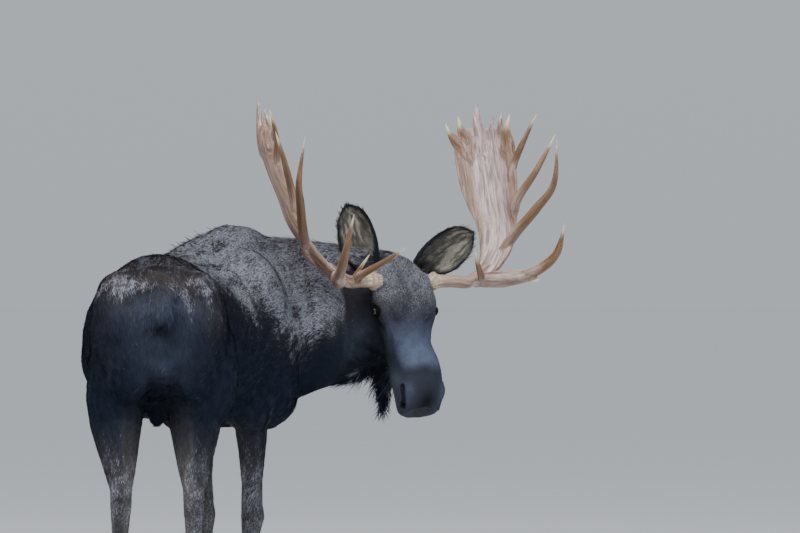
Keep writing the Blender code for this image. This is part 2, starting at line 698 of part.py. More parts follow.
def make_antler(label):
    """One antler in four solids: the beam with its burr, the brow branch, the fore tine, and the palm."""
    about = SIDES[label]
    mirror = about["mirror"]
    out, ahead, up = level_axes(mirror, RACK_HEADING)
    foot = RACK_AT + level_axes(mirror, FEET_HEADING)[0] * (FEET_APART / 2)
    burr = in_head(BURR_AT[0], mirror * BURR_AT[1], BURR_AT[2])
    turn = math.radians(about["turn"])
    across = out * math.sin(turn) + ahead * math.cos(turn)
    face = ahead * math.sin(turn) - out * math.cos(turn)
    heights, outs, aheads, widths, thicknesses = (np.array(column) for column in zip(*PALM))

    def at(place):
        lean = about["lean"] * max(0.0, place[2] - 0.08)
        return foot + out * (place[0] + lean) + ahead * place[1] + up * place[2]

    def on_blade(height, share_across):
        """The blade's middle layer at a height, at a distance across from its middle."""
        middle = at((float(np.interp(height, heights, outs)), float(np.interp(height, heights, aheads)), height))
        width = float(np.interp(height, heights, widths))
        hollow = PALM_CUP * ((2 * share_across / width) ** 2 - 0.35) * width
        return middle + across * share_across + face * min(hollow, PALM_CUP * width)

    bm = bmesh.new()
    curve = ((0.08, 0.008, 0.0), (0.16, 0.025, 0.0), (0.255, 0.030, 0.055))
    beam = [burr - out * 0.03, *(at(place) for place in curve)]
    add_tube(bm, beam, (0.031, 0.027, 0.028, 0.030))
    add_tube(bm, [burr + out * x for x in (-0.008, 0.004, 0.016)], (0.037, 0.044, 0.036), count=16, steps=5)
    rings = []
    for height, width, half_thick in zip(heights, widths, thicknesses):
        outline = []
        for n in range(28):
            angle = 2 * math.pi * n / 28
            share = rounded(math.cos(angle), 0.8)
            place = on_blade(float(height), share * float(width) / 2)
            outline.append(place + face * (float(half_thick) * rounded(math.sin(angle), 0.8)))
        rings.append(outline)
    add_loft(bm, rings)
    add_tube(bm, [at(place) for place in about["branch"]], (0.029, 0.041, 0.025), flat=0.6)
    add_tine(bm, [at(place) + out * about["fore"] for place in FORE_TINE], 0.0225)
    for root, tip, low, high, radius in EDGE_TINES:
        middle = (root * 0.45 + tip * 0.55, low * 0.52 + high * 0.48)
        points = [on_blade(low, root), on_blade(middle[1], middle[0]), on_blade(high, tip)]
        add_tine(bm, points, radius)
    for root, radius in about["tines"]:
        add_tine(bm, [at(place) for place in root], radius)
    bmesh.ops.recalc_face_normals(bm, faces=bm.faces)
    whole = object_of(f"antler_{label}_beam", bm, "antler")
    merge(whole, ANTLER_VOXEL, 4, ANTLER_TRIANGLES)
    branch_at = foot + out * 0.65 + ahead * 0.71 + up * 0.047
    brow = carve(whole, f"antler_{label}_brow", slab(branch_at, out, ahead, up, (1.0, 1.0, 0.496)))
    onward = (at(FORE_TINE[2]) - at(FORE_TINE[1])).normalized()
    rising = (up - onward * up.dot(onward)).normalized()
    fore_at = at(FORE_CUT) + onward * 0.30 + rising * 0.0175
    tine_box = slab(fore_at, onward, rising, onward.cross(rising), (0.60, 0.235, 0.30))
    fore = carve(whole, f"antler_{label}_fore_tine", tine_box)
    palm_at = foot + out * 0.5 + up * 0.66
    palm = carve(whole, f"antler_{label}_palm", slab(palm_at, out, ahead, up, (1.4, 1.4, 1.0)))
    return whole, palm, brow, fore


# ---- Merging and parting ------------------------------------------------------------------------------------
def relax(mesh, rounds, fine=None):
    """Rounds a mesh off without shrinking it: each round draws it in and then lets it out again.

    fine gives a place and a radius, within which only the first few rounds count.
    """
    count = len(mesh.vertices)
    places = np.zeros(count * 3)
    mesh.vertices.foreach_get("co", places)
    places = places.reshape(-1, 3)
    ends = np.zeros(len(mesh.edges) * 2, np.int64)
    mesh.edges.foreach_get("vertices", ends)
    first, second = ends[0::2], ends[1::2]
    degree = np.bincount(first, minlength=count) + np.bincount(second, minlength=count)
    held = np.zeros(count, bool)
    if fine:
        held = np.linalg.norm(places - np.array(fine[0]), axis=1) < fine[1]
    for turn in range(rounds):
        for strength in (0.55, -0.57):
            mean = np.zeros_like(places)
            for k in range(3):
                mean[:, k] = np.bincount(first, places[second, k], count)
                mean[:, k] += np.bincount(second, places[first, k], count)
            mean /= degree[:, None]
            moves = strength * (mean - places)
            if turn >= FINE_ROUNDS:
                moves[held] = 0.0
            places = places + moves
    mesh.vertices.foreach_set("co", places.ravel())
    mesh.update()


def merge(obj, voxel, rounds, triangles, fine=None):
    """Joins overlapping shapes into one smooth surface with about that many triangles.

    fine gives a place and a radius, round which the surface keeps more of its detail.
    """
    remesh = obj.modifiers.new("merge", "REMESH")
    remesh.mode = "VOXEL"
    remesh.voxel_size = voxel
    apply_modifiers(obj)
    relax(obj.data, rounds, fine)
    bm = bmesh.new()
    bm.from_mesh(obj.data)
    bmesh.ops.triangulate(bm, faces=bm.faces)
    bm.to_mesh(obj.data)
    bm.free()
    thin = obj.modifiers.new("thin", "DECIMATE")
    thin.ratio = triangles / len(obj.data.polygons)
    if fine:
        place, radius = fine
        group = obj.vertex_groups.new(name="coarse")
        for vert in obj.data.vertices:
            share = min(1.0, max(0.0, ((vert.co - place).length - radius) / (0.5 * radius)))
            group.add([vert.index], 0.5 + 0.5 * share, "REPLACE")
        thin.vertex_group = "coarse"
        thin.vertex_group_factor = FINE_FACTOR
    apply_modifiers(obj)
    obj.vertex_groups.clear()
    tidy(obj)


def slab(centre, first, second, third, size):
    """A box by its centre, axes and full sizes. It is given as what makes it, so that carve can shrink it."""
    return centre, (first.normalized(), second.normalized(), third.normalized()), size


def cutter_of(box, shrink):
    centre, axes, size = box
    bm = bmesh.new()
    turn = Matrix(axes).transposed().to_4x4()
    scale = Matrix.Diagonal((*(s - 2 * shrink for s in size), 1.0))
    bmesh.ops.create_cube(bm, size=1.0, matrix=Matrix.Translation(centre) @ turn @ scale)
    bmesh.ops.recalc_face_normals(bm, faces=bm.faces)
    cutter = object_of("cutter", bm, "hide")
    cutter.hide_render = True
    cutter.display_type = "WIRE"
    return cutter


def carve(whole, name, box, finish=None):
    """Takes what lies in the box out of whole, as an object of its own with a thin gap round it."""
    piece = copy_of(whole, name)
    if finish:
        piece.data.materials.clear()
        piece.data.materials.append(material(finish))
    for obj, shrink, operation in ((piece, PARTING, "INTERSECT"), (whole, 0.0, "DIFFERENCE")):
        cutter = cutter_of(box, shrink)
        boolean(obj, cutter, operation)
        discard(cutter)
        tidy(obj)
    return piece


def part_legs(flesh):
    """Each leg leaves the trunk at a slant, from the groin or armpit up to the flank, and parts again at its joint."""
    up = Vector((0, 0, 1))
    lowers = {}
    for name, (post, side, _, _, leg, _) in LEGS.items():
        hind = leg is HIND_LEG
        place, ahead, left = spine_frame(post)
        out = left * side
        slope = math.radians(34 if hind else 24)
        root_height = 1.03 if hind else 0.97
        across = out * math.cos(slope) + up * math.sin(slope)
        forward = 0.00 if hind else 0.02
        length = 0.66 if hind else 0.50
        corner = place + up * root_height + ahead * forward + out * 0.004
        centre = corner + across * 0.6 - up * 0.6
        upper = carve(flesh, f"leg_{name}_upper", slab(centre, ahead, across, up, (length, 1.2, 1.2)))
        joint = 0.66 if hind else 0.56
        frame = leg_frame(name)
        box = slab(frame[0] + up * (joint / 2 - 0.1), frame[1], frame[2], up, (0.8, 0.5, joint + 0.2))
        lower = carve(upper, f"leg_{name}_lower", box)
        foot = slab(frame[0], frame[1], frame[2], up, (0.8, 0.5, 2 * (HOOF_HEIGHT + PARTING)))
        cutter = cutter_of(foot, 0)
        boolean(lower, cutter, "DIFFERENCE")
        discard(cutter)
        tidy(lower)
        lowers[name] = lower
    return lowers


def make_flesh():
    bm = bmesh.new()
    add_spine_loft(bm, TRUNK)
    add_spine_loft(bm, NECK)
    add_trunk_masses(bm)
    for name in LEGS:
        add_leg(bm, name)
    add_head(bm)
    add_bell(bm)
    add_tail(bm)
    bmesh.ops.recalc_face_normals(bm, faces=bm.faces)
    flesh = object_of("trunk", bm, "hide")
    merge(flesh, FLESH_VOXEL, 12, FLESH_TRIANGLES, (in_head(0.36, 0, -0.1), 0.42))
    return flesh


def add_tail(bm):
    frame = spine_frame(0.0)
    points = [beside(frame, f, 0, z) for f, z in ((0.06, 1.50), (-0.004, 1.455), (-0.020, 1.40), (-0.024, 1.335))]
    add_tube(bm, points, (0.030, 0.030, 0.027, 0.012), flat=1.75)


def part_flesh(flesh):
    """Parts the flesh from the bell and head back to the tail."""
    nose, side, crown = head_axes()
    up = Vector((0, 0, 1))
    carve(flesh, "bell", slab(in_head(0.47, 0, -0.276 - 0.20), nose, side, crown, (0.34, 0.30, 0.40)))
    tail_frame = spine_frame(0.0)
    tail_at = beside(tail_frame, -0.095, 0, 1.40)
    carve(flesh, "tail", slab(tail_at, tail_frame[1], tail_frame[2], up, (0.20, 0.13, 0.20)))
    # the head leaves the neck along a slant from behind the poll to the throat
    slant = math.atan2(0.20, 0.30)
    forward = nose * math.cos(slant) + crown * math.sin(slant)
    over = crown * math.cos(slant) - nose * math.sin(slant)
    nape = in_head(-0.025, 0, 0) - over * 0.28 + forward * 0.5
    head = carve(flesh, "head", slab(nape, forward, side, over, (1.0, 0.62, 0.76)))
    jaw_box = slab(in_head(0.41, 0, -0.296), nose, side, crown, (0.42, 0.4, 0.22))
    carve(head, "lower_jaw", jaw_box)
    carve(head, "muzzle", slab(in_head(0.71, 0, -0.10), nose, side, crown, (0.44, 0.5, 0.6)), "muzzle")
    for name, low, high in (("neck_upper", 1.86, 2.6), ("neck_lower", 1.60, 1.86)):
        place, ahead, left = spine_frame(low)
        length = 1.2
        carve(flesh, name, slab(place + up * 1.3 + ahead * length / 2, ahead, left, up, (length, 1.3, 1.6)))
    return head


def stand_on_origin():
    """Moves the whole animal so that its box is centred over the origin and its hooves are on the floor."""
    bpy.context.view_layer.update()
    shown = [obj for obj in bpy.context.scene.objects if obj.type == "MESH"]
    corners = np.array([obj.matrix_world @ Vector(c) for obj in shown for c in obj.bound_box])
    low, high = corners.min(0), corners.max(0)
    shift = Vector((-(low[0] + high[0]) / 2, -(low[1] + high[1]) / 2, -low[2]))
    for obj in shown:
        obj.data.transform(Matrix.Translation(shift))
        obj.data.shade_smooth()
    return shift


def main():
    clear_scene()
    flesh = make_flesh()
    lower_legs = part_legs(flesh)
    head = part_flesh(flesh)
    for name, lower in lower_legs.items():
        make_hooves(name)
        around = grown(lower, PARTING)
        make_dewclaws(name, around)
        discard(around)
    for side, label in ((1, "left"), (-1, "right")):
        eye = make_eye(side, label)
        socket = grown(eye, PARTING)
        boolean(head, socket, "DIFFERENCE")
        discard(socket)
    tidy(head)
    flesh_around = [grown(bpy.data.objects[name], PARTING) for name in ("head", "neck_upper", "neck_lower")]
    for label in ("left", "right"):
        ear = make_ear(label)
        beam = make_antler(label)[0]
        for piece in (ear, beam):
            for around in flesh_around:
                boolean(piece, around, "DIFFERENCE")
            tidy(piece)
    for around in flesh_around:
        discard(around)
    print("shift", stand_on_origin())


main()
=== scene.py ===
"""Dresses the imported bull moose: one skin over its flesh, a coat of tufts, eyes, antlers and hooves.

It runs in Blender 4.5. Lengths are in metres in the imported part's own frame, with +Z up.
"""

import json
import math

import bmesh
import bpy
import numpy as np
from mathutils import Matrix, Vector
from mathutils.bvhtree import BVHTree
from mathutils.kdtree import KDTree

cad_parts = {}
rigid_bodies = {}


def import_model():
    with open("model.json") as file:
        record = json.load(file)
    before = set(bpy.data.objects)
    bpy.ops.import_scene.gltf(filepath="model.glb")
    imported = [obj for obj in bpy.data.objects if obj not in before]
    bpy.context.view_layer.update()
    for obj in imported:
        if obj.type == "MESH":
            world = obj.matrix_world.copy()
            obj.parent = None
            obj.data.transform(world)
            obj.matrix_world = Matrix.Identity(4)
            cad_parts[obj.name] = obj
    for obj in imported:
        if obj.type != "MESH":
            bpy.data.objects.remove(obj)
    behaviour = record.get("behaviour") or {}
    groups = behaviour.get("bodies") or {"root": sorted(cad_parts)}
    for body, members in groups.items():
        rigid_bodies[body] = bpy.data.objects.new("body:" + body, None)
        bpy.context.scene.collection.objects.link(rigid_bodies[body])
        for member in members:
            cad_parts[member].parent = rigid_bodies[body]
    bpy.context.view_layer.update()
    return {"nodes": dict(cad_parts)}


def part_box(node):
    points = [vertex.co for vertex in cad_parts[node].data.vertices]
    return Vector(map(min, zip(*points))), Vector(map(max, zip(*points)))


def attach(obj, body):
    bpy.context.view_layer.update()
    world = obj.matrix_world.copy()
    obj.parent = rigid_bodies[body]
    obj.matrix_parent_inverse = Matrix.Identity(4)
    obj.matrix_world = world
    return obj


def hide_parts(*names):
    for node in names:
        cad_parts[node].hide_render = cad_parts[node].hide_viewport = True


bl_info = {
    "name": "Bull moose looks",
    "version": (1, 0, 0),
    "blender": (4, 5, 0),
    "location": "3D View > Sidebar > Moose",
    "description": "Builds the skin, coat, eyes, antlers, hooves and studio of a still bull moose",
    "category": "Object",
}

for leftover in list(bpy.data.objects):
    bpy.data.objects.remove(leftover)
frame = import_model()
UP = Vector((0.0, 0.0, 1.0))

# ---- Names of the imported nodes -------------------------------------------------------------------
LEGS = ("fore_left", "fore_right", "hind_left", "hind_right")
BODY_NODES = ["trunk", "neck_lower", "neck_upper", "bell", "tail"]
LEG_NODES = [f"leg_{leg}_{part}" for leg in LEGS for part in ("upper", "lower")]
HEAD_NODES = ["head", "muzzle", "lower_jaw"]
EAR_NODES = ["ear_left", "ear_right"]
FLESH_NODES = BODY_NODES + LEG_NODES + HEAD_NODES + EAR_NODES

# ---- The head's own frame ------------------------------------------------------------------------
HEAD_HEADING = 137.0  # degrees over the floor from -Y, turning to the animal's right
HEAD_DROOP = 61  # degrees that the face slopes down
RACK_HEADING = 146.5
EYE_SPOT = (0.242, 0.142, -0.048)  # along the face, to the side, out of the forehead
EYE_RADIUS = 0.021
MIRRORS = {"left": 1, "right": -1}


def heading_vector(degrees):
    angle = math.radians(degrees)
    return Vector((-math.sin(angle), -math.cos(angle), 0.0))


def head_axes():
    """Down the nose, to the head's left, and out of the forehead."""
    level = heading_vector(HEAD_HEADING)
    droop = math.radians(HEAD_DROOP)
    nose = level * math.cos(droop) - UP * math.sin(droop)
    crown = level * math.sin(droop) + UP * math.cos(droop)
    return nose, UP.cross(level), crown


def box_middle(node):
    low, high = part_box(node)
    return (low + high) / 2


NOSE, HEAD_LEFT, CROWN = head_axes()
POLL = (box_middle("eye_left") + box_middle("eye_right")) / 2 - NOSE * EYE_SPOT[0] - CROWN * EYE_SPOT[2]


def in_head(along, left, out):
    return POLL + NOSE * along + HEAD_LEFT * left + CROWN * out


def to_head(points):
    """Head coordinates of an array of points: along the face, to the left, out of the forehead."""
    turn = np.array((NOSE, HEAD_LEFT, CROWN), float)
    return (points - np.array(POLL)) @ turn.T


# ---- The spine -----------------------------------------------------------------------------------
# Distance from the rump, and the heading in degrees.
SPINE_TURN = (
    (-0.30, -18), (0.35, -18), (0.75, 0), (1.05, 22), (1.30, 26), (1.60, 40), (2.05, 92), (2.30, 110)
)
POLL_FROM_RUMP = Vector((-0.6153, -1.6375, 1.645))
SPINE_START, SPINE_END, SPINE_STEP = -0.2, 2.1, 0.01


def spine_line():
    """Distances, points over the floor and headings along the spine, from behind the rump to the poll."""
    places, turns = zip(*SPINE_TURN)
    distances = np.arange(SPINE_START, SPINE_END, SPINE_STEP)
    middles = distances + SPINE_STEP / 2
    angles = np.radians(np.interp(middles, places, turns))
    ways = np.stack((-np.sin(angles), -np.cos(angles)), 1)
    points = np.vstack(((0.0, 0.0), np.cumsum(ways * SPINE_STEP, axis=0)))[:-1]
    start = points[np.argmin(abs(distances))]
    rump = np.array(POLL - POLL_FROM_RUMP)[:2]
    return distances, points - start + rump, ways


def along_spine(points):
    """For an array of points: distance from the rump, offset to the left, and the way ahead."""
    distances, line, ways = spine_line()
    nearest = np.empty(len(points), int)
    for first in range(0, len(points), 20000):
        part = points[first : first + 20000, None, :2] - line[None]
        nearest[first : first + 20000] = np.argmin((part**2).sum(2), axis=1)
    way = ways[nearest]
    offset = points[:, :2] - line[nearest]
    left = np.stack((-way[:, 1], way[:, 0]), 1)
    ahead = np.column_stack((way, np.zeros(len(way))))
    return distances[nearest], (offset * left).sum(1), ahead


# ---- Settings ------------------------------------------------------------------------------------
def length_setting(name, description, default):
    return bpy.props.FloatProperty(
        name=name,
        description=description,
        default=default,
        min=0.0,
        subtype="DISTANCE",
        unit="LENGTH",
        precision=4,
    )


def number_setting(name, description, default, least):
    return bpy.props.FloatProperty(name=name, description=description, default=default, min=least)


def colour_setting(name, description, default):
    return bpy.props.FloatVectorProperty(
        name=name, description=description, default=default, size=4, min=0.0, max=1.0, subtype="COLOR"
    )


class MooseSkinSettings(bpy.types.PropertyGroup):
    """Sizes of the skin."""

    voxel: length_setting("Skin detail", "Cell in which the flesh is joined into one skin", 0.006)
    trunk_depth: length_setting("Coat depth on the body", "How far the skin lies under its hair", 0.009)
    leg_depth: length_setting("Coat depth on the legs", "How far the skin lies under their hair", 0.002)
    face_depth: length_setting("Coat depth on the face", "How far the skin lies under its hair", 0.0015)
    lid_thickness: length_setting("Lid thickness", "How far the lids stand over the eyeball", 0.0022)
    nostril_depth: length_setting("Nostril depth", "How deep each nostril goes in", 0.020)
    coronet: length_setting("Coronet overlap", "How far a leg's skin reaches into the hooves", 0.016)
    triangles: bpy.props.IntProperty(
        name="Skin triangles", description="About how many triangles the skin has", default=170000, min=20000
    )


class MooseCoatSettings(bpy.types.PropertyGroup):
    """Sizes of the coat."""

    fullness: bpy.props.FloatProperty(
        name="Fullness", description="Share of the full number of tufts", default=1.0, min=0.02, max=1.5
    )
    length: bpy.props.FloatProperty(
        name="Length",
        description="Length of every hair against its usual length",
        default=1.0,
        min=0.2,
        max=2.0,
    )
    seed: bpy.props.IntProperty(name="Seed", description="Start of the random scatter", default=7, min=0)


class MooseColourSettings(bpy.types.PropertyGroup):
    """Colours of the animal."""

    # The blue cast of sable is painted sky sheen over near-black hair.
    sable: colour_setting("Sable", "Near-black hair of the body", (0.0120, 0.0152, 0.0262, 1.0))
    brown: colour_setting("Brown", "Warm brown hair of the back and brow", (0.040, 0.034, 0.032, 1.0))
    frost: colour_setting("Frost", "Grey tips on the shoulders, neck and rump", (0.262, 0.268, 0.312, 1.0))
    pale: colour_setting("Pale", "Cream hair inside the ears and legs", (0.375, 0.350, 0.295, 1.0))
    # Painted sky sheen: blue-grey light on the nose's bridge, the muzzle's lit sides and the rump.
    sky_sheen: colour_setting("Sheen", "Blue-grey of the fine hair along the nose", (0.112, 0.136, 0.205, 1.0))
    palm: colour_setting("Palm", "Pinkish cream of the antlers' blades", (0.560, 0.465, 0.460, 1.0))
    cream: colour_setting("Cream", "Fresh cream of beams and blades' feet", (0.74, 0.645, 0.580, 1.0))
    tine: colour_setting("Tine", "Reddish brown of the tines and edges", (0.128, 0.060, 0.027, 1.0))
    tine_tip: colour_setting("Tine tip", "Polished cream tips and burr", (0.540, 0.445, 0.320, 1.0))
    hoof: colour_setting("Hoof", "Dark horn of the hooves", (0.020, 0.017, 0.015, 1.0))
    iris: colour_setting("Iris", "Dark brown of the eyes", (0.006, 0.004, 0.003, 1.0))


class MooseStageSettings(bpy.types.PropertyGroup):
    """The camera, the floor and the light."""

    camera_place: bpy.props.FloatVectorProperty(
        name="Camera",
        description="Where the camera stands",
        default=(-4.5075, 20.4739, 1.5),
        size=3,
        subtype="XYZ",
    )
    camera_way: bpy.props.FloatVectorProperty(
        name="Camera's way",
        description="The way the camera looks",
        default=(0.1994, -0.9799, 0.0047),
        size=3,
    )
    lens: number_setting("Lens", "Focal length in millimetres", 225.0, 10)
    floor: colour_setting("Floor", "The studio's floor", (0.76, 0.76, 0.755, 1.0))
    key: number_setting("Key", "Power of the main light in watts", 900.0, 0)
    fill: number_setting("Fill", "Power of the soft light in watts", 380.0, 0)
    sky: number_setting("Sky", "Strength of the light all round", 0.75, 0)


# ---- Mesh tools ----------------------------------------------------------------------------------
def smooth_step(value, low, high):
    share = np.clip((value - low) / (high - low), 0.0, 1.0)
    return share * share * (3 - 2 * share)


def unit(vectors):
    return vectors / np.maximum(np.linalg.norm(vectors, axis=-1, keepdims=True), 1e-9)


def places_of(mesh):
    places = np.empty(len(mesh.vertices) * 3, np.float32)
    mesh.vertices.foreach_get("co", places)
    return places.reshape(-1, 3).astype(float)


def normals_of(mesh):
    normals = np.empty(len(mesh.vertices) * 3, np.float32)
    mesh.vertices.foreach_get("normal", normals)
    return normals.reshape(-1, 3).astype(float)


def set_places(mesh, places):
    mesh.vertices.foreach_set("co", places.astype(np.float32).ravel())
    mesh.update()


def set_values(mesh, name, values):
    """Stores one number or one vector for each vertex."""
    kind = "FLOAT" if values.ndim == 1 else "FLOAT_VECTOR"
    attribute = mesh.attributes.get(name) or mesh.attributes.new(name, kind, "POINT")
    field = "value" if values.ndim == 1 else "vector"
    attribute.data.foreach_set(field, values.astype(np.float32).ravel())


def values_of(mesh, name):
    values = np.empty(len(mesh.vertices), np.float32)
    mesh.attributes[name].data.foreach_get("value", values)
    return values.astype(float)


class Neighbours:
    """Averages values over each vertex's neighbours."""

    def __init__(self, mesh):
        ends = np.empty(len(mesh.edges) * 2, np.int64)
        mesh.edges.foreach_get("vertices", ends)
        self.first, self.second = ends[0::2], ends[1::2]
        self.count = len(mesh.vertices)
        links = np.bincount(ends, minlength=self.count)
        self.links = np.maximum(links, 1)

    def mean(self, values):
        if values.ndim == 1:
            total = np.bincount(self.first, values[self.second], self.count)
            total += np.bincount(self.second, values[self.first], self.count)
            return total / self.links
        return np.stack([self.mean(values[:, n]) for n in range(values.shape[1])], 1)

    def smooth(self, values, rounds, share=0.5):
        for _ in range(rounds):
            values = values + (self.mean(values) - values) * share
        return values


def mesh_object(name, mesh):
    obj = bpy.data.objects.new(name, mesh)
    bpy.context.scene.collection.objects.link(obj)
    return obj


def object_from(bm, name):
    mesh = bpy.data.meshes.new(name)
    bm.to_mesh(mesh)
    bm.free()
    return mesh_object(name, mesh)


def apply_modifiers(obj):
    """Replaces an object's mesh with what its modifiers make of it."""
    bpy.context.view_layer.update()
    shown = obj.evaluated_get(bpy.context.evaluated_depsgraph_get())
    made = bpy.data.meshes.new_from_object(shown)
    obj.modifiers.clear()
    old = obj.data
    obj.data = made
    bpy.data.meshes.remove(old)


def remesh(obj, voxel):
    cells = obj.modifiers.new("cells", "REMESH")
    cells.mode = "VOXEL"
    cells.voxel_size = voxel
    apply_modifiers(obj)


def add_node(bm, node, grow):
    """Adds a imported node's mesh, its surface moved outwards by that distance."""
    mesh = frame["nodes"][node].data.copy()
    own = bmesh.new()
    own.from_mesh(mesh)
    bmesh.ops.remove_doubles(own, verts=own.verts, dist=1e-5)
    own.normal_update()
    shifts = [vert.normal * grow for vert in own.verts]
    for vert, shift in zip(own.verts, shifts):
        vert.co += shift
    own.to_mesh(mesh)
    own.free()
    bm.from_mesh(mesh)
    bpy.data.meshes.remove(mesh)


def shade_smooth(mesh):
    mesh.polygons.foreach_set("use_smooth", np.ones(len(mesh.polygons), bool))


# ---- Rings, lofts and tubes ----------------------------------------------------------------------
def rounded(value, power):
    return math.copysign(abs(value) ** power, value)


def ring(centre, side, up, half_width, above, below, taper=0.0, square=2.3, count=48):
    """A closed outline round centre. It is half_width to each side, narrower towards its top by taper."""
    points = []
    for n in range(count):
        angle = 2 * math.pi * n / count
        across = rounded(math.cos(angle), 2 / square)
        height = rounded(math.sin(angle), 2 / square)
        reach = above if height > 0 else below
        narrowing = 1 - taper * max(0.0, height) ** 1.4
        points.append(centre + side * (across * half_width * narrowing) + up * (height * reach))
    return points


def add_loft(bm, rings):
    """Adds one closed tube through rings that have the same number of points."""
    loops = [[bm.verts.new(point) for point in outline] for outline in rings]
    count = len(loops[0])
    for first, second in zip(loops, loops[1:]):
        for n in range(count):
            m = (n + 1) % count
            bm.faces.new((first[n], first[m], second[m], second[n]))
    bm.faces.new(list(reversed(loops[0])))
    bm.faces.new(loops[-1])


def add_ball(bm, centre, axes, radii):
    turn = Matrix(axes).transposed().to_4x4()
    size = Matrix.Diagonal((*radii, 1.0))
    placed = Matrix.Translation(centre) @ turn @ size
    bmesh.ops.create_icosphere(bm, subdivisions=4, radius=1.0, matrix=placed)


def smooth_path(points, count):
    """Points along a smooth curve through the given ones, or rows of numbers in the same way."""
    known = [np.array(p, float) for p in points]
    known = [2 * known[0] - known[1], *known, 2 * known[-1] - known[-2]]
    spans = len(known) - 3
    found = []
    for n in range(count):
        place = spans * n / (count - 1)
        k = min(int(place), spans - 1)
        t = place - k
        a, b, c, d = known[k : k + 4]
        bend = (2 * a - 5 * b + 4 * c - d) * t**2 + (3 * b - a - 3 * c + d) * t**3
        found.append(0.5 * (2 * b + (c - a) * t + bend))
    return found


def add_tube(bm, points, radii, flat=1.0, count=24, steps=21, face=None, flare=0.0, reach=0.3):
    """Adds a tapering tube along a smooth curve, and returns its middle line. It may flare out at its root,
    in the plane that lies square to the face's way.
    """
    path = [Vector(p) for p in smooth_path(points, steps)]
    sizes = np.interp(np.linspace(0, 1, steps), np.linspace(0, 1, len(radii)), radii)
    rings = []
    for n, centre in enumerate(path):
        along = (path[min(n + 1, steps - 1)] - path[max(n - 1, 0)]).normalized()
        side = along.cross(face or Vector((0.13, 0.31, 0.94))).normalized()
        up = side.cross(along).normalized()
        size = float(sizes[n])
        wide = flat * (1 + flare * math.exp(-((n / (steps - 1) / reach) ** 2)))
        rings.append(ring(centre, side, up, size * wide, size, size, square=2.0, count=count))
    add_loft(bm, [list(reversed(outline)) for outline in rings])
    return path


# ---- The head's shape ----------------------------------------------------------------------------
# Along the face: distance from the poll, brow, underside, half width, share of height where it is
# widest, taper.
SKULL = (
    (-0.050, -0.030, -0.200, 0.082, 0.50, 0.25),
    (0.010, 0.004, -0.225, 0.110, 0.52, 0.25),
    (0.080, 0.030, -0.250, 0.128, 0.55, 0.22),
    (0.150, 0.030, -0.262, 0.134, 0.60, 0.22),
    (0.220, 0.014, -0.262, 0.130, 0.62, 0.25),
    (0.290, -0.008, -0.244, 0.119, 0.60, 0.28),
    (0.360, -0.018, -0.214, 0.113, 0.57, 0.25),
    (0.425, -0.014, -0.196, 0.113, 0.56, 0.20),
    (0.480, -0.006, -0.192, 0.116, 0.56, 0.16),
    (0.535, -0.006, -0.198, 0.115, 0.54, 0.16),
    (0.585, -0.016, -0.208, 0.111, 0.52, 0.16),
    (0.630, -0.038, -0.220, 0.106, 0.50, 0.17),
    (0.662, -0.066, -0.220, 0.098, 0.48, 0.16),
    (0.680, -0.102, -0.202, 0.078, 0.46, 0.14),
)
JAW = (
    (0.170, -0.140, -0.285, 0.074, 0.50, 0.0),
    (0.260, -0.150, -0.276, 0.062, 0.50, 0.0),
    (0.370, -0.165, -0.248, 0.052, 0.50, 0.0),
    (0.470, -0.178, -0.236, 0.048, 0.50, 0.0),
    (0.545, -0.178, -0.244, 0.051, 0.50, 0.0),
    (0.592, -0.186, -0.238, 0.040, 0.50, 0.0),
)
BROW = (  # the ridge over the eye: along the face, to the side, out of the forehead, radius
    (0.050, 0.086, -0.026, 0.034),
    (0.130, 0.100, -0.030, 0.044),
    (0.200, 0.111, -0.036, 0.048),
    (0.256, 0.107, -0.052, 0.043),
    (0.325, 0.088, -0.066, 0.030),
    (0.430, 0.064, -0.074, 0.018),
)
BURR_AT = (0.125, 0.146, 0.004)
# Masses of the head on each side: place along, to the side and out, and the radii along those ways.
MASSES = (
    (0.205, 0.078, -0.160, 0.170, 0.056, 0.095),  # jaw muscle
    (0.320, 0.076, -0.095, 0.120, 0.036, 0.034),  # cheekbone
    (0.600, 0.066, -0.110, 0.058, 0.044, 0.062),  # side of the nostril
    (0.175, 0.066, -0.027, 0.130, 0.064, 0.049),  # slope from the antler's foot down to the brow
    (0.110, 0.020, -0.004, 0.110, 0.092, 0.046),  # bridge between the antlers' feet
)
# Moves of the finished head: place along, to the side and out, reach along those ways, the move out.
SWELLS = (
    (0.605, 0.100, -0.056, 0.046, 0.040, 0.034, 0.0025),  # upper wing of the nostril
    (0.668, 0.070, -0.150, 0.026, 0.040, 0.044, 0.0050),  # front wing of the nostril
    (0.530, 0.092, -0.165, 0.060, 0.030, 0.026, 0.0050),  # lip over the corner of the mouth
    (0.425, 0.092, -0.160, 0.060, 0.034, 0.036, -0.0050),  # hollow behind the mouth
    (0.318, 0.124, -0.078, 0.046, 0.040, 0.015, -0.0070),  # tear groove before the eye
    (0.165, 0.146, -0.062, 0.038, 0.040, 0.022, -0.0055),  # temple behind the eye
    (0.400, 0.105, -0.100, 0.110, 0.036, 0.013, 0.0040),  # ridge of the cheek
    (0.430, 0.105, -0.134, 0.110, 0.036, 0.015, -0.0040),  # hollow below that ridge
    (0.250, 0.115, -0.215, 0.110, 0.060, 0.020, -0.0040),  # edge of the jaw muscle
    (0.575, 0.000, -0.006, 0.050, 0.044, 0.040, -0.0030),  # dip along the nose
    (0.330, 0.064, -0.012, 0.060, 0.034, 0.030, 0.0030),  # slope under the brow
    (0.140, 0.000, 0.030, 0.060, 0.030, 0.040, -0.0060),  # furrow of the forehead
)
MOUTH_LINE = (
    (0.657, 0.030, -0.212),
    (0.620, 0.060, -0.217),
    (0.560, 0.078, -0.199),
    (0.500, 0.084, -0.187),
    (0.440, 0.088, -0.176),
)
NOSTRIL_LINE = (
    (0.594, 0.110, -0.070),
    (0.626, 0.112, -0.080),
    (0.650, 0.104, -0.100),
    (0.660, 0.094, -0.126),
)
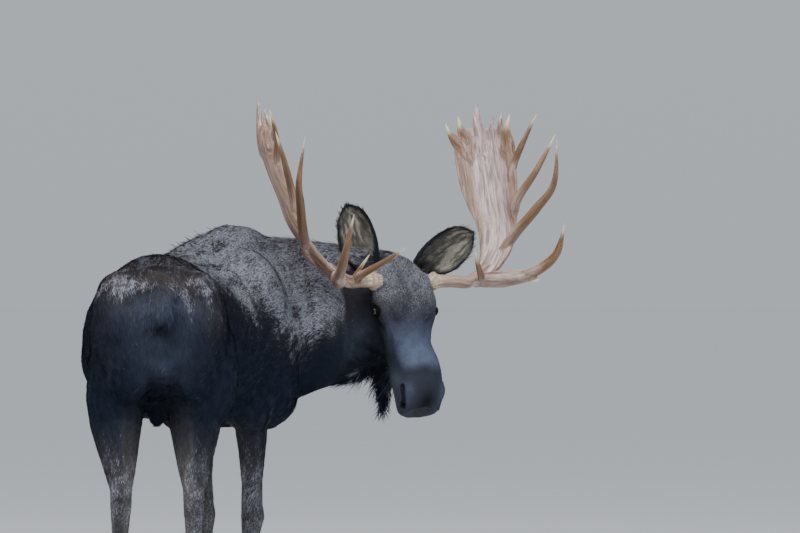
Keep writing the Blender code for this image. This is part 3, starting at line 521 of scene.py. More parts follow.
CHIN_LINE = ((0.310, 0.052, -0.248), (0.425, 0.044, -0.242), (0.530, 0.048, -0.246))


def add_head(bm):
    for stations in (SKULL, JAW):
        rows = smooth_path(stations, 3 * len(stations))
        rings = []
        for along, brow, under, half_width, widest, taper in rows:
            height = under + (brow - under) * widest
            centre = in_head(along, 0, height)
            above, below = brow - height, height - under
            rings.append(ring(centre, HEAD_LEFT, CROWN, half_width, above, below, taper, 2.25))
        add_loft(bm, rings)
    axes = (NOSE, HEAD_LEFT, CROWN)
    for mirror in MIRRORS.values():
        add_tube(bm, [in_head(a, mirror * x, o) for a, x, o, _ in BROW], [size for *_, size in BROW])
        foot = [in_head(BURR_AT[0], mirror * x, -0.008) for x in (0.04, 0.095, 0.142)]
        add_tube(bm, foot, (0.060, 0.048, 0.037))
        for along, left, out, *radii in MASSES:
            add_ball(bm, in_head(along, mirror * left, out), axes, radii)
    add_ball(bm, in_head(0.075, 0, 0.010), axes, (0.085, 0.088, 0.032))


# ---- Ears ----------------------------------------------------------------------------------------
# Where each ear points (out, ahead, up) and where it opens, over the floor in the rack's heading, and how far
# its foot stands from the head's middle.
EARS = {
    "left": ((0.86, -0.05, 0.52), (-0.20, 0.95, -0.10), 0.148),
    "right": ((0.20, -0.32, 0.90), (0.68, 0.72, 0.10), 0.106),
}
EAR_FOOT = (0.020, -0.060)  # along the face and out of the forehead
EAR_LENGTH = 0.315
EAR_WIDTH = 0.165
EAR_ROWS, EAR_COLUMNS = 46, 37


def level_axes(mirror, heading):
    """Outwards for that side, ahead, and up, over the floor in that heading."""
    ahead = heading_vector(heading)
    return UP.cross(ahead) * mirror, ahead, UP.copy()


def ear_axes(label):
    mirror = MIRRORS[label]
    points_to, opens_to, aside = EARS[label]
    out, ahead, up = level_axes(mirror, RACK_HEADING)
    axis = (out * points_to[0] + ahead * points_to[1] + up * points_to[2]).normalized()
    mouth = out * opens_to[0] + ahead * opens_to[1] + up * opens_to[2]
    mouth = (mouth - axis * mouth.dot(axis)).normalized()
    foot = in_head(EAR_FOOT[0], mirror * aside, EAR_FOOT[1])
    return foot, axis, mouth, axis.cross(mouth)


def make_ear_shell(label):
    """A thin cup with a rolled edge. Each vertex keeps how far up the ear it is, and if it lies inside."""
    foot, axis, mouth, across = ear_axes(label)
    places, insides, ups, rims = [], [], [], []
    for inside in (0, 1):
        for n in range(EAR_ROWS):
            t = n / (EAR_ROWS - 1)
            swell = math.sin(math.pi * min(1.0, t * 0.98) ** 0.95) ** 0.8
            half_width = EAR_WIDTH / 2 * (0.42 + 0.60 * swell)
            half_width *= 1 - 0.78 * max(0.0, (t - 0.72) / 0.28) ** 4
            spread = math.radians(118 - 66 * t)
            radius = half_width / math.sin(min(spread, math.pi / 2))
            for m in range(EAR_COLUMNS):
                turn = 2 * m / (EAR_COLUMNS - 1) - 1
                angle = spread * turn
                centre = foot + axis * ((EAR_LENGTH - 0.008) * t - 0.02)
                centre = centre + mouth * (0.02 * t * t + radius * 0.55)
                wall = 0.0024 * (1 - 0.75 * abs(turn) ** 6) * (1 - 0.7 * max(0.0, (t - 0.9) / 0.1))
                fold = 0.0022 * math.sin(turn * 9.5) * math.sin(math.pi * t) * (1 - turn * turn)
                size = radius + (-wall + fold * 1.3 if inside else wall + fold * 0.4)
                point = centre + across * (size * math.sin(angle)) - mouth * (size * math.cos(angle))
                places.append(point)
                insides.append(float(inside))
                ups.append(t)
                rims.append(max(abs(turn), 0.0) ** 4 + max(0.0, (t - 0.85) / 0.15) ** 2)
    bm = bmesh.new()
    verts = [bm.verts.new(p) for p in places]
    block = EAR_ROWS * EAR_COLUMNS
    for n in range(EAR_ROWS - 1):
        for m in range(EAR_COLUMNS - 1):
            a = n * EAR_COLUMNS + m
            b, c, d = a + 1, a + EAR_COLUMNS + 1, a + EAR_COLUMNS
            bm.faces.new((verts[a], verts[b], verts[c], verts[d]))
            bm.faces.new([verts[block + k] for k in (d, c, b, a)])
    edge = [m for m in range(EAR_COLUMNS)]
    edge += [n * EAR_COLUMNS + EAR_COLUMNS - 1 for n in range(1, EAR_ROWS)]
    edge += [(EAR_ROWS - 1) * EAR_COLUMNS + m for m in range(EAR_COLUMNS - 2, -1, -1)]
    edge += [n * EAR_COLUMNS for n in range(EAR_ROWS - 2, 0, -1)]
    for a, b in zip(edge, edge[1:] + edge[:1]):
        bm.faces.new((verts[b], verts[a], verts[block + a], verts[block + b]))
    bmesh.ops.recalc_face_normals(bm, faces=bm.faces)
    ear = object_from(bm, f"ear_shell_{label}")
    set_values(ear.data, "inner", np.array(insides))
    set_values(ear.data, "ear_up", np.array(ups))
    set_values(ear.data, "rim", np.clip(np.array(rims), 0, 1))
    return ear


# ---- Skin ----------------------------------------------------------------------------------------
NODE_OF_REGION = BODY_NODES + LEG_NODES + HEAD_NODES


def nearest_nodes(points):
    """For each point, which of the flesh nodes is nearest, as a number in NODE_OF_REGION."""
    verts, faces, owner = [], [], []
    for number, node in enumerate(NODE_OF_REGION):
        mesh = frame["nodes"][node].data
        first = len(verts)
        verts += [v.co.copy() for v in mesh.vertices]
        faces += [[first + k for k in face.vertices] for face in mesh.polygons]
        owner += [number] * len(mesh.polygons)
    tree = BVHTree.FromPolygons(verts, faces)
    find = tree.find_nearest
    return np.array([owner[find(Vector(p))[2]] for p in points])


def refine(obj, middle, reach):
    """Divides the faces within reach of a place in four."""
    bm = bmesh.new()
    bm.from_mesh(obj.data)
    near = [vert for vert in bm.verts if (vert.co - middle).length < reach]
    chosen = set(near)
    edges = [edge for edge in bm.edges if edge.verts[0] in chosen and edge.verts[1] in chosen]
    bmesh.ops.subdivide_edges(bm, edges=edges, cuts=1, use_grid_fill=True)
    bm.to_mesh(obj.data)
    bm.free()


def away_from_line(points, line, mirror, steps=40):
    """Distance of each point, in head coordinates, from a curve on that side of the head."""
    path = np.array(smooth_path(line, steps)) * (1, mirror, 1)
    return np.sqrt(((points[:, None] - path[None]) ** 2).sum(2)).min(1)


def shape_eyelids(places, settings):
    """Opens the skin over each eyeball and lays an upper and a lower lid over it."""
    for mirror in MIRRORS.values():
        centre = np.array(in_head(EYE_SPOT[0], mirror * EYE_SPOT[1], EYE_SPOT[2]))
        outward = (HEAD_LEFT * mirror * 0.95 + NOSE * 0.14 + CROWN * 0.24).normalized()
        forward = (NOSE - outward * NOSE.dot(outward)).normalized()
        over = outward.cross(forward)
        if over.dot(CROWN) < 0:
            over = -over
        tilt = 0.20
        cos, sin = math.cos(tilt), math.sin(tilt)
        forward, over = forward * cos - over * sin, over * cos + forward * sin
        local = (places - centre) @ np.array((forward, over, outward)).T
        near = np.flatnonzero((np.linalg.norm(local, axis=1) < 0.065) & (local[:, 2] > -0.004))
        f, u, h = local[near].T
        width = 0.0190
        share = np.clip(1 - (f / width) ** 2, 0, 1)
        height = np.where(u > 0, 0.0118, 0.0090) * np.maximum(share, 0.05) ** 0.62
        ratio = np.where(abs(f) < width, abs(u) / height, 1 + (abs(f) - width) / 0.004 + abs(u) / 0.004)
        ball = np.sqrt(np.maximum((EYE_RADIUS + settings.lid_thickness) ** 2 - f**2 - u**2, 0))
        edge = (ratio > 1) & (ratio < 1.22)
        f = np.where(edge, f / ratio, f)
        u = np.where(edge, u / ratio, u)
        local[near, 0], local[near, 1] = f, u
        gap = np.where(abs(f) < width, np.maximum(abs(u) - height, 0), np.hypot(abs(f) - width, u))
        lid = ball + 0.0012 * np.exp(-((gap / 0.0025) ** 2))
        lid += np.where(u > 0, 0.0016, 0.0006) * np.exp(-(((gap - 0.006) / 0.003) ** 2))
        crease = np.where(u > 0, 0.0018, 0.0012) * np.exp(-(((gap - 0.0115) / 0.0022) ** 2))
        hold = 1 - smooth_step(gap, 0.004, 0.020)
        shaped = h + (lid - h) * hold - crease
        inside = ratio < 1
        shaped = np.where(inside, -0.004, shaped)
        local[near, 2] = shaped
        places[near] = local[near] @ np.array((forward, over, outward)) + centre
    return places


def shape_head(obj, settings):
    """Moves the skin of the head into its folds, lips, nostrils and lids."""
    mesh = obj.data
    places, normals = places_of(mesh), normals_of(mesh)
    head = to_head(places)
    near_head = (head[:, 0] > -0.06) & (head[:, 0] < 0.75) & (abs(head[:, 1]) < 0.22)
    near_head &= abs(head[:, 2] + 0.1) < 0.25
    move = np.zeros(len(places))
    for along, left, out, *reach, by in SWELLS:
        for mirror in {1: (1, -1), 0: (1,)}[int(left > 0)]:
            away = (head - (along, mirror * left, out)) / reach
            move += by * np.exp(-2.2 * (away**2).sum(1))
    picked = np.flatnonzero(near_head & (head[:, 0] > 0.25))
    part = head[picked]
    for mirror in MIRRORS.values():
        to_mouth = away_from_line(part, MOUTH_LINE, mirror)
        move[picked] -= 0.0075 * np.exp(-((to_mouth / 0.0055) ** 2))
        move[picked] += 0.0030 * np.exp(-(((to_mouth - 0.013) / 0.007) ** 2)) * (part[:, 2] > -0.215)
        to_nostril = away_from_line(part, NOSTRIL_LINE, mirror)
        move[picked] -= settings.nostril_depth * np.exp(-((to_nostril / 0.0085) ** 2))
        move[picked] += 0.0048 * np.exp(-(((to_nostril - 0.0175) / 0.006) ** 2))
        to_chin = away_from_line(part, CHIN_LINE, mirror)
        move[picked] -= 0.0015 * np.exp(-((to_chin / 0.012) ** 2))
    places += normals * (move * near_head)[:, None]
    places = shape_eyelids(places, settings)
    set_places(mesh, places)


def thin_body(obj, settings):
    """Thins the body's faces and leaves those of the head as they are."""
    mesh = obj.data
    places = places_of(mesh)
    head = to_head(places)
    of_head = (head[:, 0] > 0.02) & (head[:, 0] < 0.80) & (abs(head[:, 1]) < 0.21) & (head[:, 2] > -0.31)
    of_head &= head[:, 2] < 0.15
    group = obj.vertex_groups.new(name="body")
    group.add([int(n) for n in np.flatnonzero(~of_head)], 1.0, "REPLACE")
    now = sum(len(face.vertices) - 2 for face in mesh.polygons)
    thin = obj.modifiers.new("thin", "DECIMATE")
    thin.ratio = min(1.0, settings.triangles / now)
    thin.vertex_group = "body"
    apply_modifiers(obj)
    obj.vertex_groups.clear()


def make_skin(settings):
    """Joins the flesh into one skin under the coat, and shapes the head on it."""
    bm = bmesh.new()
    for node in BODY_NODES + LEG_NODES:
        add_node(bm, node, 0.0010)
    for node in ("head", "lower_jaw"):
        add_node(bm, node, -0.0030)
    add_head(bm)
    skin = object_from(bm, "moose_skin")
    remesh(skin, settings.voxel)
    mesh = skin.data
    places = places_of(mesh)
    head = to_head(places)
    rounds = 22
    of_face = smooth_step(head[:, 0], 0.03, 0.16) * (abs(head[:, 1]) < 0.22)
    of_face *= (head[:, 2] > -0.32) * (head[:, 0] < 0.8)
    low_leg = 1 - smooth_step(places[:, 2], 0.45, 0.75)
    smooth_face = 0.45 + 0.41 * smooth_step(head[:, 0], 0.26, 0.48)
    share = 0.5 * (1 - smooth_face * of_face) * (1 - 0.55 * low_leg)
    near = Neighbours(mesh)
    for _ in range(rounds):
        places = places + (near.mean(places) - places) * share[:, None]
    distance = along_spine(places)[0]
    shoulders = smooth_step(distance, 0.55, 0.80) * (1 - smooth_step(distance, 1.45, 1.70)) * (1 - of_face)
    shoulders *= smooth_step(places[:, 2], 1.00, 1.20)
    folded = head * (1, 0, 1) + abs(head) * (0, 1, 0)
    brows = np.exp(-(((folded - (0.290, 0.066, -0.012)) / (0.055, 0.045, 0.045)) ** 2).sum(1))
    share = 0.5 * np.maximum(shoulders, brows)
    for _ in range(40):
        places = places + (near.mean(places) - places) * share[:, None]
    set_places(mesh, places)
    depth = np.full(len(places), settings.trunk_depth)
    depth += (settings.leg_depth - depth) * (1 - smooth_step(places[:, 2], 0.50, 1.00))
    depth += (settings.face_depth - depth) * of_face
    depth = near.smooth(depth, 12)
    places -= normals_of(mesh) * depth[:, None]
    for leg in LEGS:
        low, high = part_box(f"leg_{leg}_lower")
        own = (places[:, 0] > low.x) & (places[:, 0] < high.x)
        own &= (places[:, 1] > low.y) & (places[:, 1] < high.y)
        foot = 1 - smooth_step(places[:, 2], low.z + 0.004, low.z + 0.050)
        places[:, 2] -= settings.coronet * own * foot
    set_places(mesh, places)
    for mirror in MIRRORS.values():
        eye = in_head(EYE_SPOT[0], mirror * EYE_SPOT[1], EYE_SPOT[2])
        refine(skin, eye, 0.065)
        refine(skin, eye, 0.048)
    refine(skin, in_head(0.605, 0, -0.13), 0.170)
    for mirror in MIRRORS.values():
        refine(skin, in_head(0.636, mirror * 0.102, -0.098), 0.050)
    shape_head(skin, settings)
    thin_body(skin, settings)
    shade_smooth(skin.data)
    return skin


# ---- Markings ------------------------------------------------------------------------------------
def ripple(points, scale, seed):
    """Smooth bumps between -1 and 1 over space, made of a few waves."""
    rng = np.random.default_rng(seed)
    total = np.zeros(len(points))
    for octave in range(3):
        for _ in range(5):
            way = rng.normal(size=3)
            way *= scale * 1.9**octave / np.linalg.norm(way)
            total += np.sin(points @ way + rng.uniform(0, 6.28)) * 0.62**octave
    return np.tanh(total / 2.6)


# Soft spots of painted shade and painted sky sheen on the head: place along, to the side and out, reach along
# those ways, and strength.
SHADE_SPOTS = (
    (0.250, 0.150, -0.046, 0.036, 0.040, 0.026, 1.0),  # round the eye
    (0.300, 0.128, -0.066, 0.050, 0.030, 0.018, 0.9),  # tear groove
    (0.350, 0.118, -0.100, 0.070, 0.030, 0.022, 0.5),  # cheek below it
    (0.665, 0.000, -0.095, 0.052, 0.042, 0.085, 1.0),  # front of the nose
    (0.010, 0.130, -0.070, 0.050, 0.050, 0.050, 0.8),  # foot of the ear
)
SKY_SHEEN_SPOTS = (
    (0.345, 0.108, -0.062, 0.070, 0.014, 0.030, 0.30),  # ridge of the cheek
    (0.545, 0.112, -0.100, 0.060, 0.040, 0.045, 0.26),  # side of the upper lip
    (0.620, 0.082, -0.080, 0.060, 0.026, 0.070, 0.28),  # wing of the nostril
    (0.585, 0.060, -0.225, 0.080, 0.060, 0.020, 0.18),  # edge of the lips
)


def soft_spots(head, spots):
    """How near each point of the head is to any of those spots on either side, from 0 to 1."""
    found = np.zeros(len(head))
    folded = head * (1, 0, 1) + abs(head) * (0, 1, 0)
    for *middle, along, aside, out, strength in spots:
        away = (folded - middle) / (along, aside, out)
        found = np.maximum(found, strength * np.exp(-1.4 * (away**2).sum(1)))
    return found


def markings(points, normals):
    """How brown, frosted and pale the hair is at each point, with painted blue-grey sheen and a dark share
    that is partly painted shade. Skin and coat both use it.
    """
    head = to_head(points)
    distance, left, ahead = along_spine(points)
    height = points[:, 2]
    of_head = smooth_step(head[:, 0], -0.04, 0.06) * (abs(head[:, 1]) < 0.23) * (head[:, 2] > -0.33)
    of_head *= (head[:, 0] < 0.80) & (head[:, 2] < 0.20)
    ragged = 0.055 * ripple(points * (1, 1, 0.35), 42, 3) + 0.045 * ripple(points, 11, 5)
    # the back: a deep saddle over the shoulders and down the neck, and a streaked band across the rump
    places = (-0.2, 0.0, 0.35, 0.55, 0.75, 1.00, 1.30, 1.60, 1.90, 2.20)
    lower_edge = np.interp(distance, places, (1.43, 1.45, 1.49, 1.56, 1.54, 1.42, 1.33, 1.30, 1.32, 1.36))
    saddle = smooth_step(height + ragged, lower_edge - 0.12, lower_edge + 0.13)
    strength = np.interp(distance, places, (0.15, 0.15, 0.22, 0.36, 0.54, 0.76, 0.84, 0.84, 0.76, 0.66))
    band = np.exp(-(((height + 0.5 * ragged - 1.525) / 0.062) ** 2))
    band *= 1 - smooth_step(distance, 0.20, 0.45)
    band *= 0.20 + 0.80 * smooth_step(ripple(points * (1, 1, 0.5), 34, 13), -0.3, 0.6)
    frost = (saddle * strength + 0.41 * band) * (1 - of_head)
    midline = np.exp(-((left / 0.020) ** 2)) * (normals[:, 2] > 0.1) * (distance < 0.5)
    frost *= 1 - 0.8 * midline
    brown = np.clip(0.70 * saddle + 0.15 * smooth_step(height, 1.0, 1.5), 0, 1) * (1 - 0.5 * of_head)
    # the rump: painted blue-grey sheen down its middle and in a band across it, painted shadow under the tail
    behind = 1 - smooth_step(distance, 0.02, 0.12)
    sky_sheen = 0.14 * behind * np.exp(-((left / 0.11) ** 2)) * smooth_step(height, 0.9, 1.1)
    sky_sheen *= 1 - smooth_step(height, 1.44, 1.56)
    sky_sheen += 0.13 * behind * np.exp(-(((height - 1.44) / 0.055) ** 2))
    # The croup's top: painted sky sheen in patches, painted shade between them.
    rim = smooth_step(height, 1.57, 1.61) * (1 - smooth_step(distance, 0.35, 0.60)) * (1 - of_head)
    patches = smooth_step(ripple(points * (1, 0.4, 0.4), 44, 19), -0.2, 0.7)
    sky_sheen += 0.26 * rim * patches
    arc = abs(height - 1.352 + 3.0 * left**2) / 0.016
    dark = 0.85 * behind * np.exp(-(arc**2)) * (1 - smooth_step(abs(left), 0.050, 0.080))
    dark = np.maximum(dark, 0.62 * rim * (1 - patches))
    # the face: grey on the brow, painted blue-grey sheen down the bridge and on the muzzle's sides, painted
    # shade round the eyes and at the nose
    faces_out = normals @ np.array(CROWN)
    brow = np.exp(-(((head[:, 0] - 0.13) / 0.15) ** 2)) * smooth_step(head[:, 2], -0.10, 0.0) * of_head
    whorl = np.exp(-(((head[:, 0] - 0.150) / 0.050) ** 2) - ((head[:, 1] + 0.030) / 0.055) ** 2) * brow
    bridge = smooth_step(faces_out, 0.48, 0.95) * (0.35 + 0.65 * smooth_step(head[:, 0], 0.30, 0.46))
    bridge *= of_head
    bridge *= smooth_step(head[:, 0], 0.18, 0.34)
    bridge *= 1 - smooth_step(head[:, 0] + 0.005 * ripple(points, 60, 15), 0.490, 0.560)
    nose = smooth_step(head[:, 0], 0.50, 0.58) * of_head
    frost += 0.64 * brow * (1 - 0.5 * bridge) + 0.12 * of_head * (1 - nose)
    brown += (0.50 * brow + 0.15 * (1 - nose)) * of_head
    fleck = 1 + 0.14 * ripple(points, 120, 17)
    sky_sheen += np.maximum(0.72 * bridge, soft_spots(head, SKY_SHEEN_SPOTS) * of_head) * fleck + 0.03 * nose
    dark = np.maximum(dark, np.maximum(0.40 * whorl, soft_spots(head, SHADE_SPOTS) * of_head))
    # the legs: greyer within and below
    low = 1 - smooth_step(height, 0.70, 1.02)
    outward = np.sign(left) * (normals[:, 1] * ahead[:, 0] - normals[:, 0] * ahead[:, 1])
    inner = smooth_step(-outward, -0.2, 0.7) * (height < 1.10) * (1 - of_head)
    pale = 0.08 * inner * smooth_step(1.10 - height, 0.0, 0.20) + 0.05 * low + 0.035 * nose
    frost += 0.52 * low * (1 - of_head)
    brown += 0.45 * low * (1 - of_head)
    calm = 1 - 0.7 * of_head
    frost = np.clip(frost * (1 + 0.35 * calm * ripple(points, 60, 9)), 0, 1)
    brown = np.clip(brown * (1 + 0.30 * calm * ripple(points, 25, 11)), 0, 1)
    pale, sky_sheen = np.clip(pale, 0, 1), np.clip(sky_sheen, 0, 1)
    return {"brown": brown, "frost": frost, "pale": pale, "sky_sheen": sky_sheen, "dark": dark}


# ---- How the hair lies ---------------------------------------------------------------------------
# For each node: hair length, width, tufts for each square metre, and how far the tips lift.
HAIR = {
    "trunk": (0.031, 0.0026, 60000, 0.055),
    "neck_lower": (0.038, 0.0028, 56000, 0.09),
    "neck_upper": (0.036, 0.0027, 58000, 0.09),
    "bell": (0.080, 0.0036, 60000, 0.30),
    "tail": (0.042, 0.0030, 70000, 0.16),
    "upper": (0.025, 0.0025, 62000, 0.055),
    "lower": (0.014, 0.0022, 80000, 0.10),
    "head": (0.0105, 0.0017, 120000, 0.10),
    "muzzle": (0.0050, 0.0012, 160000, 0.09),
    "lower_jaw": (0.018, 0.0022, 80000, 0.18),
}
EAR_HAIR = ((0.011, 0.0017, 100000, 0.16), (0.022, 0.0019, 60000, 0.36))  # outside and inside


def hair_row(node):
    return HAIR[node.rsplit("_", 1)[1] if node.startswith("leg") else node]


def lie_of_hair(points, nodes):
    """The way in which the hair lies at each point, before it is laid flat on the skin."""
    distance, _, ahead = along_spine(points)
    way = np.empty((len(points), 3))
    up = np.array(UP)
    nose, crown, side = np.array(NOSE), np.array(CROWN), np.array(HEAD_LEFT)
    head = to_head(points)
    for number, node in enumerate(NODE_OF_REGION):
        own = nodes == number
        if node.startswith("leg"):
            drop = 1.0 if node.endswith("lower") else 0.9
            way[own] = -up * drop - ahead[own] * (0.12 if node.endswith("lower") else 0.38)
        elif node in ("bell", "tail"):
            way[own] = -up - 0.12 * ahead[own]
        elif node in HEAD_NODES:
            outward = head[own, 1:2] / 0.12
            way[own] = -nose - crown * 0.30 + side * outward * 0.25
        else:
            fall = 0.34 + 1.1 * (1 - smooth_step(distance[own], 0.0, 0.40))
            way[own] = -ahead[own] - up * fall[:, None]
    return way


def curve_along(mesh, places, normals, way):
    """How sharply the skin curves away under the hair at every vertex, in 1/m."""
    ends = np.empty(len(mesh.edges) * 2, np.int64)
    mesh.edges.foreach_get("vertices", ends)
    first, second = ends[0::2], ends[1::2]
    step = places[second] - places[first]
    long = np.maximum((step**2).sum(1), 1e-9)
    curve = ((normals[second] - normals[first]) * step).sum(1) / long
    total, weights = np.zeros(len(places)), np.full(len(places), 1e-6)
    for end in (first, second):
        weight = (step * way[end]).sum(1) ** 2 / long
        total += np.bincount(end, curve * weight, len(places))
        weights += np.bincount(end, weight, len(places))
    return Neighbours(mesh).smooth(np.clip(total / weights, -30, 40), 5)


def comb(mesh, nodes):
    """Smooth hair ways and sizes at every vertex of the skin."""
    places, normals = places_of(mesh), normals_of(mesh)
    near = Neighbours(mesh)
    way = near.smooth(unit(lie_of_hair(places, nodes)), 25)
    way += 0.16 * np.stack([ripple(places, 16, 21 + n) for n in range(3)], 1)
    way -= normals * (way * normals).sum(1)[:, None]
    rows = np.array([hair_row(node) for node in NODE_OF_REGION])[nodes]
    rows = near.smooth(rows, 14)
    head = to_head(places)
    distance = along_spine(places)[0]
    # shorter hair towards the eyes and the lips, and a mane along the hump
    for mirror in MIRRORS.values():
        away = np.linalg.norm(head - (EYE_SPOT[0], mirror * EYE_SPOT[1], EYE_SPOT[2]), axis=1)
        by_eye = 1 - smooth_step(away, 0.030, 0.085)
        rows[:, 0] *= 1 - 0.55 * by_eye
        rows[:, 1] *= 1 - 0.35 * by_eye
    crest = smooth_step(normals[:, 2], 0.45, 0.9) * smooth_step(distance, 0.75, 1.05) * (head[:, 0] < -0.02)
    rows[:, 0] *= 1 + 0.35 * crest
    rows[:, 3] *= 1 + 0.9 * crest
    withers = np.exp(-(((distance - 1.06) / 0.13) ** 2)) * smooth_step(normals[:, 2], 0.4, 0.9)
    rows[:, 0] *= 1 + 0.45 * withers
    rows[:, 3] *= 1 + 1.3 * withers
    forehead = np.exp(-(((head[:, 0] - 0.09) / 0.10) ** 2)) * smooth_step(head[:, 2], -0.06, 0.01)
    forehead *= (head[:, 0] > -0.1) & (abs(head[:, 1]) < 0.2)
    rows[:, 0] *= 1 + 0.5 * forehead
    rows[:, 3] *= 1 + 1.0 * forehead
    return unit(way), rows


# ---- Tufts ---------------------------------------------------------------------------------------
MASKS = ("brown", "frost", "pale", "sky_sheen", "dark")
PATCH = 0.003  # size of a tuft's patch on the map of the skin
TUFT_SHARE = np.array((0.0, 0.0, 0.42, 0.42, 0.76, 0.76, 1.0))
TUFT_SIDE = np.array((-1.0, 1.0, -0.92, 0.92, -0.55, 0.55, 0.0))
TUFT_FACES = np.array(((0, 1, 3), (0, 3, 2), (2, 3, 5), (2, 5, 4), (4, 5, 6)))
SHORT_SHARE = np.array((0.0, 0.0, 0.58, 0.58, 1.0))
SHORT_SIDE = np.array((-1.0, 1.0, -0.80, 0.80, 0.0))
SHORT_FACES = np.array(((0, 1, 3), (0, 3, 2), (2, 3, 4)))
LONG_BLADE = (TUFT_SHARE, TUFT_SIDE, TUFT_FACES)
SHORT_BLADE = (SHORT_SHARE, SHORT_SIDE, SHORT_FACES)


class Roots:
    """Where tufts stand: places, normals, ways, sizes and markings, one row for each tuft."""

    def __init__(self, **columns):
        self.columns = columns

    def __len__(self):
        return len(self.columns["place"])

    def __getattr__(self, name):
        return self.__dict__["columns"][name]

    def pick(self, chosen):
        return Roots(**{name: values[chosen] for name, values in self.columns.items()})


def scatter(mesh, density, per_vertex, rng):
    """Random points over a triangulated mesh, with every value read between its vertices."""
    mesh.calc_loop_triangles()
    corners = np.empty(len(mesh.loop_triangles) * 3, np.int64)
    mesh.loop_triangles.foreach_get("vertices", corners)
    corners = corners.reshape(-1, 3)
    places = places_of(mesh)
    a, b, c = (places[corners[:, n]] for n in range(3))
    areas = np.linalg.norm(np.cross(b - a, c - a), axis=1) / 2
    expected = areas * density[corners].mean(1)
    counts = rng.poisson(expected)
    chosen = np.repeat(np.arange(len(corners)), counts)
    u, v = rng.random(len(chosen)), rng.random(len(chosen))
    over = u + v > 1
    u[over], v[over] = 1 - u[over], 1 - v[over]
    weights = np.stack((1 - u - v, u, v), 1)
    found = {}
    for name, values in per_vertex.items():
        at = values[corners[chosen]]
        found[name] = (at * weights.reshape(weights.shape + (1,) * (at.ndim - 2))).sum(1)
    return Roots(**found)


def box_map(points, normals):
    """Where each point of the skin lies on its map: six views of the part, by the way it faces."""
    low, high = points.min(0), points.max(0)
    scale = 0.30 / max(high - low)
    axis = np.argmax(abs(normals), axis=1)
    back = normals[np.arange(len(normals)), axis] < 0
    first, second = (axis + 1) % 3, (axis + 2) % 3
    rows = np.arange(len(points))
    along = (points[rows, first] - low[first]) * scale
    up = (points[rows, second] - low[second]) * scale
    return np.stack((0.015 + along + axis / 3, 0.02 + up + 0.5 * back), 1)


def make_tufts(name, roots, rng, short=False):
    """One mesh of hair tufts: flat blades that taper, curve down and lie along the hair's way."""
    share, side, faces = SHORT_BLADE if short else LONG_BLADE
    count, points, triangles = len(roots), len(share), len(faces)
    normal = unit(roots.normal)
    way = roots.way - normal * (roots.way * normal).sum(1)[:, None]
    way = unit(way)
    across = np.cross(normal, way)
    turn = rng.normal(0, 0.20, count)[:, None]
    way, across = way * np.cos(turn) + across * np.sin(turn), across * np.cos(turn) - way * np.sin(turn)
    length = roots.size[:, 0] * np.exp(rng.normal(0, 0.20, count))
    width = roots.size[:, 1] * np.exp(rng.normal(0, 0.18, count))
    lift = roots.size[:, 3] * np.exp(rng.normal(0, 0.40, count))
    lift = lift * np.where(rng.random(count) < 0.06, 2.5, 1.0)
    drop = np.clip(roots.size[:, 4] * length, -0.8, 0.8) * length / 2
    roll = rng.normal(0, 0.20, count)[:, None]
    flat = across * np.cos(roll) + normal * np.sin(roll)
    bend = rng.normal(0, 0.10, count)
    t = share[None, :, None]
    rise = (lift * length)[:, None, None] * (t * 1.15 - 0.55 * t * t) - drop[:, None, None] * t * t
    sway = (bend * length)[:, None, None] * t * t
    sink = -0.0010 * (1 - t)
    places = roots.place[:, None] + way[:, None] * (length[:, None, None] * t)
    places = places + normal[:, None] * (rise + sink) + across[:, None] * sway
    places = places + flat[:, None] * (side[None, :, None] * width[:, None, None] / 2)
    mesh = bpy.data.meshes.new(name)
    mesh.vertices.add(count * points)
    mesh.vertices.foreach_set("co", places.astype(np.float32).ravel())
    index = (np.arange(count)[:, None, None] * points + faces[None]).astype(np.int32).ravel()
    mesh.loops.add(len(index))
    mesh.loops.foreach_set("vertex_index", index)
    mesh.polygons.add(count * triangles)
    mesh.polygons.foreach_set("loop_start", np.arange(0, len(index), 3, dtype=np.int32))
    mesh.update(calc_edges=True)
    streak = sum(ripple(roots.place + way * (0.011 * n), 230, 61) for n in (-2, -1, 0, 1, 2)) / 5
    clump = sum(ripple(roots.place + way * (0.020 * n), 95, 63) for n in (-2, -1, 0, 1, 2)) / 5
    sway_tone = (0.42 * streak + 0.26 * clump) * np.clip(roots.size[:, 0] / 0.03, 0.2, 1.0)
    tone = np.clip(rng.normal(0.5, 0.12, count) + sway_tone, 0, 1)
    set_values(mesh, "tone", np.repeat(tone, points))
    set_values(mesh, "tip", np.tile(share, count))
    for mask in MASKS:
        set_values(mesh, mask, np.repeat(getattr(roots, mask), points))
    patch = box_map(roots.place, normal)[:, None] + np.stack((side / 2, share - 0.5), 1)[None] * PATCH
    patch = patch.reshape(-1, 2)[index]
    mesh.uv_layers.new(name="OFBake").data.foreach_set("uv", patch.astype(np.float32).ravel())
    shade_smooth(mesh)
    return mesh_object(name, mesh)


# ---- Antlers -------------------------------------------------------------------------------------
# Places in an antler are out from its foot, ahead over the floor, and up.
# Up the palm: height, middle out, middle ahead, width, half thickness.
PALM = (
    (0.000, 0.205, 0.040, 0.050, 0.028),
    (0.060, 0.255, 0.028, 0.115, 0.026),
    (0.140, 0.307, -0.010, 0.168, 0.021),
    (0.240, 0.344, -0.085, 0.212, 0.0165),
    (0.350, 0.350, -0.154, 0.275, 0.0145),
    (0.440, 0.360, -0.204, 0.315, 0.0135),
    (0.560, 0.369, -0.272, 0.318, 0.0120),
    (0.640, 0.371, -0.294, 0.290, 0.0110),
    (0.670, 0.369, -0.307, 0.226, 0.0080),
)
PALM_CUP = 0.16
